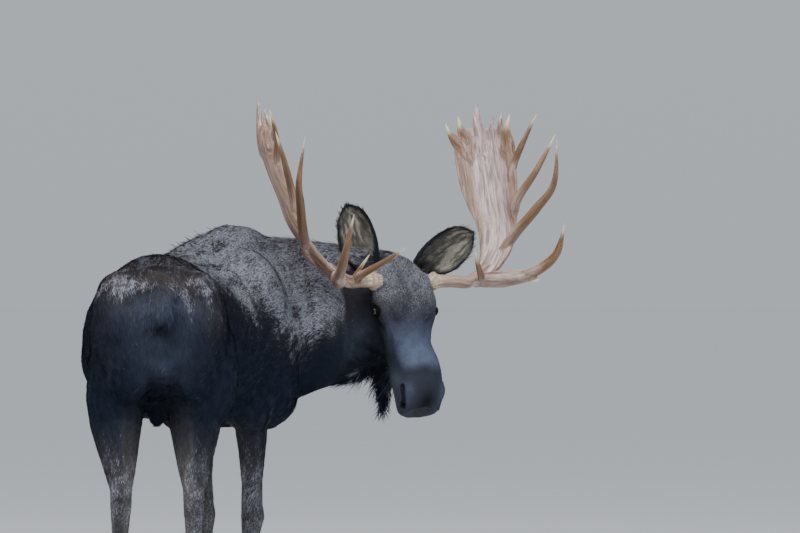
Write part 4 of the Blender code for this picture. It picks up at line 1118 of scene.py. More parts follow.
# Tines on the blade's edge: root and tip across the blade, their heights, and radius.
EDGE_TINES = (
    (0.145, 0.400, 0.350, 0.636, 0.0185),
    (0.140, 0.305, 0.500, 0.730, 0.0170),
    (0.122, 0.160, 0.600, 0.730, 0.0145),
    (0.075, 0.104, 0.610, 0.736, 0.0135),
    (0.025, 0.040, 0.630, 0.724, 0.0120),
    (-0.045, -0.046, 0.600, 0.789, 0.0210),
    (-0.100, -0.122, 0.610, 0.727, 0.0150),
    (-0.125, -0.186, 0.580, 0.697, 0.0140),
)
FORE_ROOT = (0.272, 0.012, 0.060)
FORE_TINE = (
    (0.306, 0.006, 0.108),
    (0.350, 0.075, 0.205),
    (0.400, 0.200, 0.315),
    (0.436, 0.300, 0.420),
    (0.418, 0.370, 0.605),
)
RACK_FROM_POLL = Vector((-0.0563, 0.0473, -0.1074))  # middle between the antlers' feet
FEET_HEADING, FEET_APART = 142.5, 0.256
BEAM = ((0.08, 0.008, 0.0), (0.16, 0.025, 0.0), (0.255, 0.030, 0.055))
BEAM_RADII = (0.031, 0.027, 0.028, 0.030)
SIDES = {
    "left": {
        "turn": 32,
        "lean": 0.0,
        "fore": 0.0,
        "branch": ((0.180, 0.010, 0.000), (0.265, 0.130, 0.010), (0.350, 0.250, 0.024)),
        "tines": (
            (
                ((0.325, 0.215, 0.020), (0.380, 0.305, 0.060),
                 (0.415, 0.385, 0.128), (0.410, 0.470, 0.248)),
                0.0250,
            ),
            (
                ((0.205, 0.030, 0.000), (0.190, 0.080, 0.020),
                 (0.150, 0.140, 0.070), (0.120, 0.170, 0.142)),
                0.0175,
            ),
            (((0.335, 0.235, 0.016), (0.362, 0.260, 0.004), (0.380, 0.278, 0.010)), 0.0140),
        ),
    },
    "right": {
        "turn": 20,
        "lean": 0.09,
        "fore": 0.016,
        "branch": ((0.180, 0.010, 0.000), (0.240, 0.110, 0.004), (0.280, 0.220, 0.010)),
        "tines": (
            (
                ((0.270, 0.190, 0.008), (0.285, 0.285, 0.055),
                 (0.290, 0.370, 0.140), (0.275, 0.450, 0.281)),
                0.0235,
            ),
            (
                ((0.110, 0.010, 0.000), (0.125, 0.110, 0.026),
                 (0.090, 0.270, 0.080), (0.030, 0.400, 0.140)),
                0.0185,
            ),
            (((0.130, 0.030, 0.010), (0.125, 0.085, 0.050), (0.090, 0.125, 0.116)), 0.0135),
        ),
    },
}
ANTLER_VOXEL = 0.0045


def tine_sizes(radius):
    """Radii from a root that is sunk in the antler, along the tine, to its point."""
    return (radius * 0.45, radius * 0.98, radius * 0.95, radius * 0.84, radius * 0.60, 0.0032)


def sunk(points, depth):
    """The same curve, begun that far before its first point."""
    first = points[0] + (points[0] - points[1]).normalized() * depth
    return [first, *points]


def trace_grain(points, lines):
    """For each point: the kind of the nearest branch, how far it is to its end, the grain, and the reach."""
    best = np.full(len(points), 1e9)
    kind, rest, grain = np.zeros(len(points)), np.zeros(len(points)), np.zeros((len(points), 3))
    for number, (line, radius, made_as, across) in enumerate(lines):
        path = np.array([tuple(p) for p in line])
        ways = unit(np.gradient(path, axis=0))
        lengths = np.concatenate(((0.0,), np.cumsum(np.linalg.norm(np.diff(path, axis=0), axis=1))))
        gaps = np.linalg.norm(points[:, None] - path[None], axis=2)
        nearest = np.argmin(gaps, axis=1)
        off = points - path[nearest]
        along = lengths[nearest] + (off * ways[nearest]).sum(1)
        off -= ways[nearest] * (off * ways[nearest]).sum(1)[:, None]
        first = unit(across - ways * (ways * across).sum(1)[:, None])[nearest]
        second = np.cross(ways[nearest], first)
        one, two = (off * first).sum(1), (off * second).sum(1)
        sizes = np.interp(np.linspace(0, 1, len(path)), np.linspace(0, 1, len(radius)), radius)[nearest]
        if made_as == "palm":
            reach = np.maximum(abs(one) / sizes, abs(two) / 0.03)
        else:
            reach = gaps.min(1) / sizes
        taken = reach < best
        best[taken] = reach[taken]
        worn = 0.9 * (1 - smooth_step(along / lengths[-1], 0.16, 0.42))
        kind[taken] = {"palm": 1.0, "beam": 0.8}.get(made_as, worn[taken])
        rest[taken] = lengths[-1] - along[taken] if made_as == "tine" else 1.0
        grain[taken] = np.stack((one, two, along + 0.37 * number), 1)[taken]
    return kind, rest, grain, best


def make_antler(label):
    """One antler of a single surface, with the burr, the beam, the brow branch, the palm and the tines."""
    about, mirror = SIDES[label], MIRRORS[label]
    out, ahead, up = level_axes(mirror, RACK_HEADING)
    burr_at = in_head(BURR_AT[0], mirror * BURR_AT[1], BURR_AT[2])
    foot = POLL + RACK_FROM_POLL + level_axes(mirror, FEET_HEADING)[0] * (FEET_APART / 2)
    turn = math.radians(about["turn"])
    across = out * math.sin(turn) + ahead * math.cos(turn)
    face = ahead * math.sin(turn) - out * math.cos(turn)
    heights, outs, aheads, widths, thicknesses = np.array(smooth_path(PALM, 41)).T

    def at(place):
        lean = about["lean"] * max(0.0, place[2] - 0.08)
        return foot + out * (place[0] + lean) + ahead * place[1] + up * place[2]

    def on_blade(height, share_across):
        place = float(np.interp(height, heights, outs)), float(np.interp(height, heights, aheads))
        middle = at((*place, height))
        width = float(np.interp(height, heights, widths))
        hollow = PALM_CUP * ((2 * share_across / width) ** 2 - 0.35) * width
        return middle + across * share_across + face * min(hollow, PALM_CUP * width)

    bm = bmesh.new()
    lines = []
    side = np.array(across)

    def branch(points, radii, made_as, **how):
        lines.append((add_tube(bm, points, radii, **how), radii, made_as, side))

    branch([burr_at - out * 0.03] + [at(place) for place in BEAM], BEAM_RADII, "beam")
    branch([burr_at + out * x for x in (-0.008, 0.004, 0.016)], (0.037, 0.044, 0.036), "beam", steps=9)
    rings = []
    for height, width, half_thick in zip(heights, widths, thicknesses):
        outline = []
        for n in range(64):
            angle = 2 * math.pi * n / 64
            place = on_blade(float(height), rounded(math.cos(angle), 0.8) * float(width) / 2)
            outline.append(place + face * (float(half_thick) * rounded(math.sin(angle), 0.8)))
        rings.append(outline)
    add_loft(bm, rings)
    lines.append(([on_blade(float(h), 0.0) for h in heights], tuple(widths / 2), "palm", side))
    branch([at(place) for place in about["branch"]], (0.029, 0.041, 0.025), "beam", flat=0.6)
    fore = [at(FORE_ROOT)] + [at(place) + out * about["fore"] for place in FORE_TINE]
    branch(fore, tine_sizes(0.0235), "tine", steps=31)
    for root, tip, low, high, radius in EDGE_TINES:
        middle = (root * 0.45 + tip * 0.55, low * 0.52 + high * 0.48)
        inset = 0.72 * float(np.interp(low - 0.085, heights, widths) / np.interp(low, heights, widths))
        points = [on_blade(low - 0.085, root * inset), on_blade(low, root)]
        points += [on_blade(middle[1], middle[0]), on_blade(high, tip)]
        upper = low > 0.55
        flare, reach = (2.2, 0.62) if upper else (0.4, 0.30)
        branch(points, tine_sizes(radius), "tine", steps=31, face=face, flare=flare, reach=reach)
    for points, radius in about["tines"]:
        branch(sunk([at(place) for place in points], 0.018), tine_sizes(radius), "tine")
    bmesh.ops.recalc_face_normals(bm, faces=bm.faces)
    antler = object_from(bm, f"antler_{label}")
    remesh(antler, ANTLER_VOXEL)
    mesh = antler.data
    near = Neighbours(mesh)
    places = near.smooth(places_of(mesh), 5, 0.5)
    set_places(mesh, places)
    kind, rest, grain, reach = trace_grain(places, lines)
    kind = near.smooth(kind, 6)
    tip = near.smooth(1 - smooth_step(rest, 0.0, 0.120), 3)
    burr = np.linalg.norm(places - np.array(burr_at + out * 0.004), axis=1)
    burr = 1 - smooth_step(burr, 0.030, 0.075)
    edge = near.smooth(kind * smooth_step(reach, 0.72, 1.0), 2)
    facing = normals_of(mesh)
    back = kind * smooth_step(-(facing @ np.array(face)), -0.10, 0.60) * 0.95
    edge = np.maximum(edge, near.smooth(back, 3))
    # Painted shade: darker where the antler faces down.
    under = near.smooth(smooth_step(-facing[:, 2], -0.35, 0.75), 2)
    low = near.smooth(1 - smooth_step((places - np.array(foot)) @ np.array(up), 0.06, 0.34), 3)
    pearls = np.maximum(ripple(places, 420, 31), 0) * 0.0022 * burr
    ribs = 0.0009 * ripple(grain * (1, 1, 0.07), 150, 33) * (1 - tip) * (1 - 0.5 * burr)
    set_places(mesh, places + normals_of(mesh) * (pearls + ribs)[:, None])
    kept = {"palm": kind, "tip": tip, "burr": burr, "edge": edge, "under": under, "low": low}
    for name, values in kept.items():
        set_values(mesh, name, np.clip(values, 0, 1))
    set_values(mesh, "grain", grain)
    shade_smooth(mesh)
    return antler


# ---- Eyes and feet -------------------------------------------------------------------------------
def make_eyeball(label):
    """A glossy ball with a clear bulge over its level pupil."""
    mirror = MIRRORS[label]
    centre = in_head(EYE_SPOT[0], mirror * EYE_SPOT[1], EYE_SPOT[2])
    gaze = (HEAD_LEFT * mirror * 0.93 + NOSE * 0.16 + CROWN * 0.22).normalized()
    bm = bmesh.new()
    bmesh.ops.create_uvsphere(bm, u_segments=64, v_segments=40, radius=EYE_RADIUS)
    turn = gaze.to_track_quat("Z", "Y").to_matrix().to_4x4()
    bmesh.ops.transform(bm, matrix=Matrix.Translation(centre) @ turn, verts=bm.verts)
    eye = object_from(bm, f"eyeball_{label}")
    places = places_of(eye.data)
    rays = unit(places - np.array(centre))
    front = rays @ np.array(gaze)
    bulge = 0.0011 * smooth_step(front, math.cos(math.radians(40)), math.cos(math.radians(12)))
    set_places(eye.data, places + rays * bulge[:, None])
    level = np.array(gaze.cross(UP).normalized())
    over = np.array(gaze.cross(Vector(level)).normalized())
    wide, tall = rays @ level, rays @ over
    pupil = np.hypot(wide / 0.40, tall / 0.17)
    ring_at = np.hypot(wide, tall) / 0.62
    set_values(eye.data, "pupil", (1 - smooth_step(pupil, 0.88, 1.05)) * (front > 0))
    set_values(eye.data, "white", smooth_step(ring_at, 0.97, 1.10) + (front < 0))
    set_values(eye.data, "ray", ring_at)
    shade_smooth(eye.data)
    return eye


def make_foot(leg):
    """Two claws and two dewclaws, rounded off and grown in rings."""
    bm = bmesh.new()
    nodes = [f"{kind}_{leg}_{side}" for kind in ("hoof", "dewclaw") for side in ("outer", "inner")]
    for node in nodes:
        add_node(bm, node, 0.0)
    foot = object_from(bm, f"hooves_{leg}")
    remesh(foot, 0.0033)
    mesh = foot.data
    near = Neighbours(mesh)
    places = places_of(mesh)
    sole = places[:, 2] < 0.0030
    places = near.smooth(places, 4, 0.5)
    ridges = 0.0004 * np.sin(places[:, 2] * 520 + 2.0 * ripple(places, 30, 41))
    ridges = ridges * smooth_step(places[:, 2], 0.006, 0.02)
    places += normals_of(mesh) * ridges[:, None]
    places[sole, 2] = 0.0
    places[:, 2] = np.maximum(places[:, 2], 0.0)
    set_places(mesh, places)
    set_values(mesh, "grain", np.stack((places[:, 0], places[:, 1], places[:, 2] * 0.25), 1))
    set_values(mesh, "worn", (1 - smooth_step(places[:, 2], 0.0, 0.018)))
    shade_smooth(mesh)
    return foot, nodes


# ---- Finishes ------------------------------------------------------------------------------------
def new_group(name, inputs, outputs):
    """An empty shader group with named sockets: name to (kind, default)."""
    tree = bpy.data.node_groups.new(name, "ShaderNodeTree")
    for socket, (kind, default) in inputs.items():
        made = tree.interface.new_socket(name=socket, in_out="INPUT", socket_type=f"NodeSocket{kind}")
        if default is not None:
            made.default_value = default
    for socket, kind in outputs.items():
        tree.interface.new_socket(name=socket, in_out="OUTPUT", socket_type=f"NodeSocket{kind}")
    return tree, tree.nodes.new("NodeGroupInput"), tree.nodes.new("NodeGroupOutput")


class Wiring:
    """Short ways to add and join the nodes of one tree."""

    def __init__(self, tree):
        self.tree = tree

    def node(self, kind, **sockets):
        made = self.tree.nodes.new(f"ShaderNode{kind}")
        self.feed(made, sockets)
        return made

    def feed(self, node, sockets):
        for name, value in sockets.items():
            socket = node.inputs[name.replace("_", " ")] if isinstance(name, str) else node.inputs[name]
            self.put(socket, value)

    def put(self, socket, value):
        if isinstance(value, bpy.types.NodeSocket):
            self.tree.links.new(value, socket)
        else:
            socket.default_value = value

    def value(self, name):
        made = self.tree.nodes.new("ShaderNodeAttribute")
        made.attribute_name = name
        return made.outputs["Fac"]

    def vector(self, name):
        made = self.tree.nodes.new("ShaderNodeAttribute")
        made.attribute_name = name
        return made.outputs["Vector"]

    def math(self, operation, first, second=0.0, third=0.0, clamp=False):
        made = self.tree.nodes.new("ShaderNodeMath")
        made.operation = operation
        made.use_clamp = clamp
        for socket, value in zip(made.inputs, (first, second, third)):
            self.put(socket, value)
        return made.outputs[0]

    def mix(self, share, first, second, how="MIX"):
        made = self.tree.nodes.new("ShaderNodeMix")
        made.data_type = "RGBA"
        made.blend_type = how
        for socket, value in zip((made.inputs[0], made.inputs[6], made.inputs[7]), (share, first, second)):
            self.put(socket, value)
        return made.outputs[2]

    def step(self, value, low, high):
        made = self.tree.nodes.new("ShaderNodeMapRange")
        made.interpolation_type = "SMOOTHSTEP"
        self.put(made.inputs[0], value)
        self.put(made.inputs[1], low)
        self.put(made.inputs[2], high)
        return made.outputs[0]

    def noise(self, vector, scale, detail=3.0, roughness=0.55):
        made = self.node("TexNoise", Scale=scale, Detail=detail, Roughness=roughness)
        self.put(made.inputs["Vector"], vector)
        return made.outputs["Fac"]

    def bump(self, height, strength, distance, normal=None):
        made = self.node("Bump", Strength=strength, Distance=distance, Height=height)
        if normal is not None:
            self.put(made.inputs["Normal"], normal)
        return made.outputs["Normal"]

    def group(self, tree, **sockets):
        made = self.tree.nodes.new("ShaderNodeGroup")
        made.node_tree = tree
        self.feed(made, sockets)
        return made.outputs


def hair_colour_group(colours):
    """Colour of a hair from its markings, how far along it is, and its own tone."""
    inputs = {
        "Sable": ("Color", tuple(colours.sable)),
        "Brown": ("Color", tuple(colours.brown)),
        "Frost": ("Color", tuple(colours.frost)),
        "Pale": ("Color", tuple(colours.pale)),
        "Sheen": ("Color", tuple(colours.sky_sheen)),
        "Brown share": ("Float", 0.0),
        "Frost share": ("Float", 0.0),
        "Pale share": ("Float", 0.0),
        "Steel share": ("Float", 0.0),
        "Dark share": ("Float", 0.0),
        "Tip": ("Float", 0.5),
        "Tone": ("Float", 0.5),
    }
    tree, given, put_out = new_group("Moose hair colour", inputs, {"Colour": "Color"})
    w = Wiring(tree)
    tip, tone = given.outputs["Tip"], given.outputs["Tone"]
    toned = w.math("MULTIPLY_ADD", tone, 1.1, 0.35)
    brown = w.math("MULTIPLY", given.outputs["Brown share"], toned, clamp=True)
    colour = w.mix(brown, given.outputs["Sable"], given.outputs["Brown"])
    frosted = w.math("MULTIPLY", given.outputs["Frost share"], 1.15)
    frosted = w.math("SUBTRACT", w.math("ADD", tone, frosted), 0.92)
    frosted = w.math("MULTIPLY", frosted, 2.2, clamp=True)
    frosted = w.math("MULTIPLY", frosted, w.step(tip, 0.25, 0.85))
    colour = w.mix(frosted, colour, given.outputs["Frost"])
    colour = w.mix(given.outputs["Pale share"], colour, given.outputs["Pale"])
    # Painted sky sheen, mixed in by its share.
    colour = w.mix(given.outputs["Steel share"], colour, given.outputs["Sheen"])
    # Darkening by the dark share: painted shade in the face's hollows, under the tail and on the croup, and
    # dark hair of the whorl and the ears.
    darkened = w.math("MULTIPLY", given.outputs["Dark share"], 0.9)
    colour = w.mix(darkened, colour, (0.0022, 0.0024, 0.0034, 1.0))
    by_tip, by_tone = w.math("MULTIPLY_ADD", tip, 0.62, 0.50), w.math("MULTIPLY_ADD", tone, 0.70, 0.65)
    shade = w.math("MULTIPLY", by_tip, by_tone)
    grey = w.node("CombineColor", Red=shade, Green=shade, Blue=shade).outputs[0]
    w.put(put_out.inputs["Colour"], w.mix(1.0, colour, grey, "MULTIPLY"))
    return tree


def streaks_group():
    """Lengthwise streaks and pores of horn and antler."""
    inputs = {"Grain": ("Vector", (0.0, 0.0, 0.0)), "Scale": ("Float", 60.0), "Pull": ("Float", 0.1)}
    outputs = {"Streak": "Float", "Pores": "Float"}
    tree, given, put_out = new_group("Moose lengthwise streaks", inputs, outputs)
    w = Wiring(tree)
    parts = w.node("SeparateXYZ", Vector=given.outputs["Grain"]).outputs
    pulled = w.math("MULTIPLY", parts[2], given.outputs["Pull"])
    place = w.node("CombineXYZ", X=parts[0], Y=parts[1], Z=pulled).outputs[0]
    w.put(put_out.inputs["Streak"], w.noise(place, given.outputs["Scale"], 4.0, 0.6))
    w.put(put_out.inputs["Pores"], w.noise(given.outputs["Grain"], 420.0, 2.0, 0.5))
    return tree


def new_material(name, roughness, **constants):
    """A material with one Principled shader, whose even values are set on its own sockets."""
    material = bpy.data.materials.new(name)
    material.use_nodes = True
    shader = next(node for node in material.node_tree.nodes if node.type == "BSDF_PRINCIPLED")
    shader.inputs["Roughness"].default_value = roughness
    for socket, value in constants.items():
        shader.inputs[socket.replace("_", " ")].default_value = value
    return material, shader, Wiring(material.node_tree)


def coat_material(hair_colour):
    """Hair of the coat, from its tufts' own tip, tone and markings."""
    material, shader, w = new_material(
        "moose_coat", 0.5, Specular_IOR_Level=0.0
    )
    colour = w.group(
        hair_colour, Brown_share=w.value("brown"), Frost_share=w.value("frost"), Pale_share=w.value("pale"),
        Steel_share=w.value("sky_sheen"), Dark_share=w.value("dark"), Tip=w.value("tip"), Tone=w.value("tone")
    )
    w.put(shader.inputs["Base Color"], colour["Colour"])
    rough = w.math("MULTIPLY_ADD", w.value("tone"), 0.20, 0.40)
    w.put(shader.inputs["Roughness"], rough)
    return material


def skin_material(hair_colour):
    """Skin under the coat: the same markings, with fine flat hair as bump, and bare leather at the nose."""
    material, shader, w = new_material(
        "moose_skin", 0.6, Specular_IOR_Level=0.05, Specular_Tint=(0.55, 0.75, 1.0, 1.0)
    )
    place = w.tree.nodes.new("ShaderNodeTexCoord").outputs["Object"]
    fine = w.noise(place, 420.0, 3.0, 0.6)
    coarse = w.noise(place, 95.0, 3.0, 0.6)
    tone = w.math("MULTIPLY_ADD", w.math("SUBTRACT", fine, 0.5), 2.2, 0.45, clamp=True)
    colour = w.group(
        hair_colour, Brown_share=w.value("brown"), Frost_share=w.value("frost"), Pale_share=w.value("pale"),
        Steel_share=w.value("sky_sheen"), Dark_share=w.value("dark"), Tip=0.42, Tone=tone
    )
    dark = w.mix(w.math("MULTIPLY", w.value("bare"), 0.94), colour["Colour"], (0.0035, 0.0035, 0.0045, 1.0))
    w.put(shader.inputs["Base Color"], dark)
    leather = w.tree.nodes.new("ShaderNodeTexVoronoi")
    leather.feature = "DISTANCE_TO_EDGE"
    leather.inputs["Scale"].default_value = 330.0
    w.put(leather.inputs["Vector"], place)
    pebbles = w.math("MULTIPLY", w.step(leather.outputs["Distance"], 0.0, 0.25), w.value("bare"))
    height = w.math("ADD", w.math("MULTIPLY", fine, 0.5), w.math("MULTIPLY", coarse, 0.35))
    height = w.math("ADD", height, w.math("MULTIPLY", pebbles, 0.8))
    w.put(shader.inputs["Normal"], w.bump(height, 0.55, 0.0016))
    w.put(shader.inputs["Roughness"], w.math("MULTIPLY_ADD", w.value("bare"), -0.16, 0.60))
    return material


def antler_material(colours, streaks):
    """Dry antler: pale grooved blades, reddish brown tines with polished tips, a pearled burr, and painted
    shade on the undersides.
    """
    material, shader, w = new_material("moose_antler", 0.5, Specular_IOR_Level=0.45)
    grain = w.vector("grain")
    wide = w.group(streaks, Grain=grain, Scale=62.0, Pull=0.09)
    fine = w.group(streaks, Grain=grain, Scale=210.0, Pull=0.05)
    groove = w.step(wide["Streak"], 0.38, 0.57)
    line = w.step(fine["Streak"], 0.42, 0.58)
    mottle = w.step(w.noise(grain, 11.0, 3.0), 0.36, 0.62)
    dark = w.mix(0.5, tuple(colours.tine), (0.040, 0.022, 0.013, 1.0))
    fresh = w.mix(w.math("MULTIPLY", w.value("low"), 0.65), tuple(colours.palm), tuple(colours.cream))
    violet = w.mix(w.math("MULTIPLY_ADD", groove, 0.75, 0.12), (0.205, 0.140, 0.140, 1.0), fresh)
    violet = w.mix(w.math("MULTIPLY_ADD", mottle, -0.30, 0.30), violet, (0.300, 0.215, 0.205, 1.0))
    blade = w.mix(w.math("MULTIPLY_ADD", line, 0.40, 0.60, clamp=True), dark, violet)
    tine = w.mix(w.math("MULTIPLY", groove, 0.55), tuple(colours.tine), (0.330, 0.195, 0.105, 1.0))
    tine = w.mix(w.math("MULTIPLY_ADD", line, -0.45, 0.45, clamp=True), tine, dark)
    # Painted shade on the undersides: darker tines and less of the pale blade there.
    tine = w.mix(w.math("MULTIPLY", w.value("under"), 0.62), tine, dark)
    share = w.math("MULTIPLY_ADD", w.value("edge"), -0.75, 1.0)
    share = w.math("MULTIPLY", share, w.math("MULTIPLY_ADD", w.value("under"), -0.45, 1.0))
    share = w.math("MULTIPLY", w.value("palm"), share, clamp=True)
    colour = w.mix(share, tine, blade)
    pearly = w.mix(line, (0.20, 0.13, 0.09, 1.0), tuple(colours.tine_tip))
    colour = w.mix(w.math("MULTIPLY", w.value("burr"), 0.75), colour, pearly)
    tip = w.math("ADD", w.value("tip"), w.math("MULTIPLY_ADD", wide["Streak"], 0.7, -0.35), clamp=True)
    colour = w.mix(w.step(tip, 0.25, 0.95), colour, tuple(colours.tine_tip))
    w.put(shader.inputs["Base Color"], colour)
    height = w.math("ADD", w.math("MULTIPLY", wide["Streak"], 0.9), w.math("MULTIPLY", fine["Streak"], 0.35))
    height = w.math("ADD", height, w.math("MULTIPLY", wide["Pores"], 0.10))
    w.put(shader.inputs["Normal"], w.bump(height, 0.95, 0.0050))
    w.put(shader.inputs["Roughness"], w.math("MULTIPLY_ADD", w.value("tip"), -0.18, 0.54))
    return material


def hoof_material(colours, streaks):
    """Dark horn with fine lengthwise fibres and a scuffed edge at the ground."""
    material, shader, w = new_material("moose_hoof", 0.42, Specular_IOR_Level=0.5)
    lines = w.group(streaks, Grain=w.vector("grain"), Scale=260.0, Pull=0.25)
    horn = w.mix(w.step(lines["Streak"], 0.35, 0.68), tuple(colours.hoof), (0.075, 0.060, 0.048, 1.0))
    scuffed = w.math("MULTIPLY", w.value("worn"), w.step(lines["Pores"], 0.3, 0.7))
    worn = w.mix(w.math("MULTIPLY", scuffed, 0.6), horn, (0.17, 0.14, 0.115, 1.0))
    w.put(shader.inputs["Base Color"], worn)
    w.put(shader.inputs["Normal"], w.bump(lines["Streak"], 0.5, 0.0010))
    w.put(shader.inputs["Roughness"], w.math("MULTIPLY_ADD", scuffed, 0.30, 0.38))
    return material


def eye_material(colours):
    """A wet dark eye: level black pupil, brown iris with fine rays, and a dark rim."""
    material, shader, w = new_material(
        "moose_eye", 0.08, Specular_IOR_Level=0.6, Coat_Weight=0.8, Coat_Roughness=0.02
    )
    place = w.tree.nodes.new("ShaderNodeTexCoord").outputs["Object"]
    rays = w.step(w.noise(place, 900.0, 2.0), 0.3, 0.7)
    iris = w.mix(w.math("MULTIPLY", rays, 0.6), tuple(colours.iris), (0.022, 0.011, 0.006, 1.0))
    iris = w.mix(w.step(w.value("ray"), 0.6, 1.0), iris, (0.010, 0.005, 0.004, 1.0))
    iris = w.mix(w.value("pupil"), iris, (0.002, 0.002, 0.003, 1.0))
    w.put(shader.inputs["Base Color"], w.mix(w.value("white"), iris, (0.012, 0.009, 0.009, 1.0)))
    return material


def floor_material(colours):
    material, shader, w = new_material("studio_floor", 0.9, Specular_IOR_Level=0.0)
    place = w.tree.nodes.new("ShaderNodeTexCoord").outputs["Object"]
    shade = w.mix(w.noise(place, 1.3, 2.0), tuple(c * 0.97 for c in colours[:3]) + (1.0,), tuple(colours))
    w.put(shader.inputs["Base Color"], shade)
    return material


# ---- Dressing ------------------------------------------------------------------------------------
BUILT = {}


def finish_piece(obj, slot, *nodes):
    """Hangs a piece on the part's one body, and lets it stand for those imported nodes."""
    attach(obj, "root")
    if nodes:
        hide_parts(*nodes)


def give(obj, material):
    obj.data.materials.clear()
    obj.data.materials.append(material)


def ear_rows(mesh):
    """Hair ways, sizes, densities and markings on the ears' vertices, and which vertices those are."""
    inner, up, rim = (values_of(mesh, name) for name in ("inner", "ear_up", "rim"))
    places = places_of(mesh)
    of_ear = values_of(mesh, "ear")
    way, rows = np.zeros((len(places), 3)), np.zeros((len(places), 4))
    drawn_out = places.copy()
    for number, label in enumerate(EARS, 1):
        foot, axis, mouth, across = ear_axes(label)
        own = of_ear == number
        side = (places[own] - np.array(foot)) @ np.array(across)
        drawn_out[own] -= 0.85 * np.outer(places[own] @ np.array(axis), np.array(axis))
        lean = -0.35 * np.sign(side) * inner[own] * (1 - up[own])
        way[own] = np.array(axis) + np.array(across) * (side[:, None] * 1.2 + lean[:, None])
        way[own] += np.array(mouth) * (0.30 * inner[own] * (1 - up[own]))[:, None]
    outside, inside = np.array(EAR_HAIR)
    rows[:] = outside + (inside - outside) * inner[:, None]
    rows[:, 0] *= 1 + 0.5 * rim
    rows[:, 3] *= 1 + 0.5 * rim
    rows[:, 0] *= 1 - 0.35 * up * inner
    streak = smooth_step(ripple(drawn_out, 300, 51), -0.45, 0.45)
    streak = streak * smooth_step(ripple(places, 38, 52), -0.9, 0.2)
    # Painted shade deep in the ear's cup, towards its foot.
    cup_foot_shade = 1 - smooth_step(up, 0.10, 0.30)
    masks = {
        "pale": np.clip(inner * (1 - 0.9 * smooth_step(rim, 0.25, 0.85)) * (0.34 + 0.66 * streak), 0, 1),
        "brown": np.clip(0.55 * (1 - inner) + 0.30 * inner, 0, 1) * (1 - 0.6 * rim),
        "frost": 0.42 * (1 - inner) * (1 - rim) + 0.12 * inner,
        "sky_sheen": np.zeros(len(places)),
        "dark": np.clip(inner * (0.75 * cup_foot_shade + 0.25 * (1 - streak)) + 0.15 * rim * up, 0, 1),
    }
    return of_ear > 0, unit(way), rows, masks


def bare_skin(places):
    """Where no hair stands: round the nostrils, on the small patch between them, and on the lids."""
    head = to_head(places)
    bare = np.zeros(len(places))
    near = (head[:, 0] > 0.1) & (head[:, 0] < 0.8) & (abs(head[:, 1]) < 0.2) & (abs(head[:, 2]) < 0.3)
    near = np.flatnonzero(near)
    part = head[near]
    patch = np.hypot(part[:, 1] / 0.030, (part[:, 2] + 0.135) / 0.050)
    found = (1 - smooth_step(patch, 0.7, 1.2)) * smooth_step(part[:, 0], 0.652, 0.668)
    for mirror in MIRRORS.values():
        found = np.maximum(found, 1 - smooth_step(away_from_line(part, NOSTRIL_LINE, mirror), 0.010, 0.018))
        eye = np.linalg.norm(part - (EYE_SPOT[0], mirror * EYE_SPOT[1], EYE_SPOT[2]), axis=1)
        found = np.maximum(found, 1 - smooth_step(eye, 0.0245, 0.0275))
    bare[near] = found
    return bare


def dress_skin():
    """Builds the skin with its ears, and stores every marking on it."""
    scene = bpy.context.scene
    skin = make_skin(scene.moose_skin)
    set_values(skin.data, "ear", np.zeros(len(skin.data.vertices)))
    parts = [skin]
    for number, label in enumerate(EARS, 1):
        ear = make_ear_shell(label)
        set_values(ear.data, "ear", np.full(len(ear.data.vertices), float(number)))
        shade_smooth(ear.data)
        parts.append(ear)
    for name in ("inner", "ear_up", "rim"):
        set_values(skin.data, name, np.zeros(len(skin.data.vertices)))
    with bpy.context.temp_override(active_object=skin, selected_editable_objects=parts):
        bpy.ops.object.join()
    mesh = skin.data
    places, normals = places_of(mesh), normals_of(mesh)
    masks = markings(places, normals)
    of_ear, way, rows, ear_masks = ear_rows(mesh)
    nodes = nearest_nodes(places)
    body_way, body_rows = comb(mesh, nodes)
    way[~of_ear], rows[~of_ear] = body_way[~of_ear], body_rows[~of_ear]
    for name in masks:
        masks[name][of_ear] = ear_masks[name][of_ear]
        set_values(mesh, name, masks[name])
    bare = bare_skin(places) * ~of_ear
    set_values(mesh, "bare", bare)
    region = np.where(of_ear, len(NODE_OF_REGION), nodes)
    rows = np.column_stack((rows, curve_along(mesh, places, normals, way)))
    BUILT.update(skin=skin, way=way, rows=rows, masks=masks, bare=bare, region=region, normals=normals)
    return skin


COAT_PIECES = {
    "coat_trunk": ("trunk",),
    "coat_neck": ("neck_lower", "neck_upper"),
    **{f"coat_leg_{leg}": (f"leg_{leg}_upper", f"leg_{leg}_lower") for leg in LEGS},
    "coat_head": ("head",),
    "coat_muzzle": ("muzzle", "lower_jaw"),
    "coat_ears": ("ears",),
    "coat_bell_and_tail": ("bell", "tail"),
}
LONG_COATS = ("coat_bell_and_tail",)
PIECE_TRIANGLES = 180000  # the most triangles in one piece of the coat


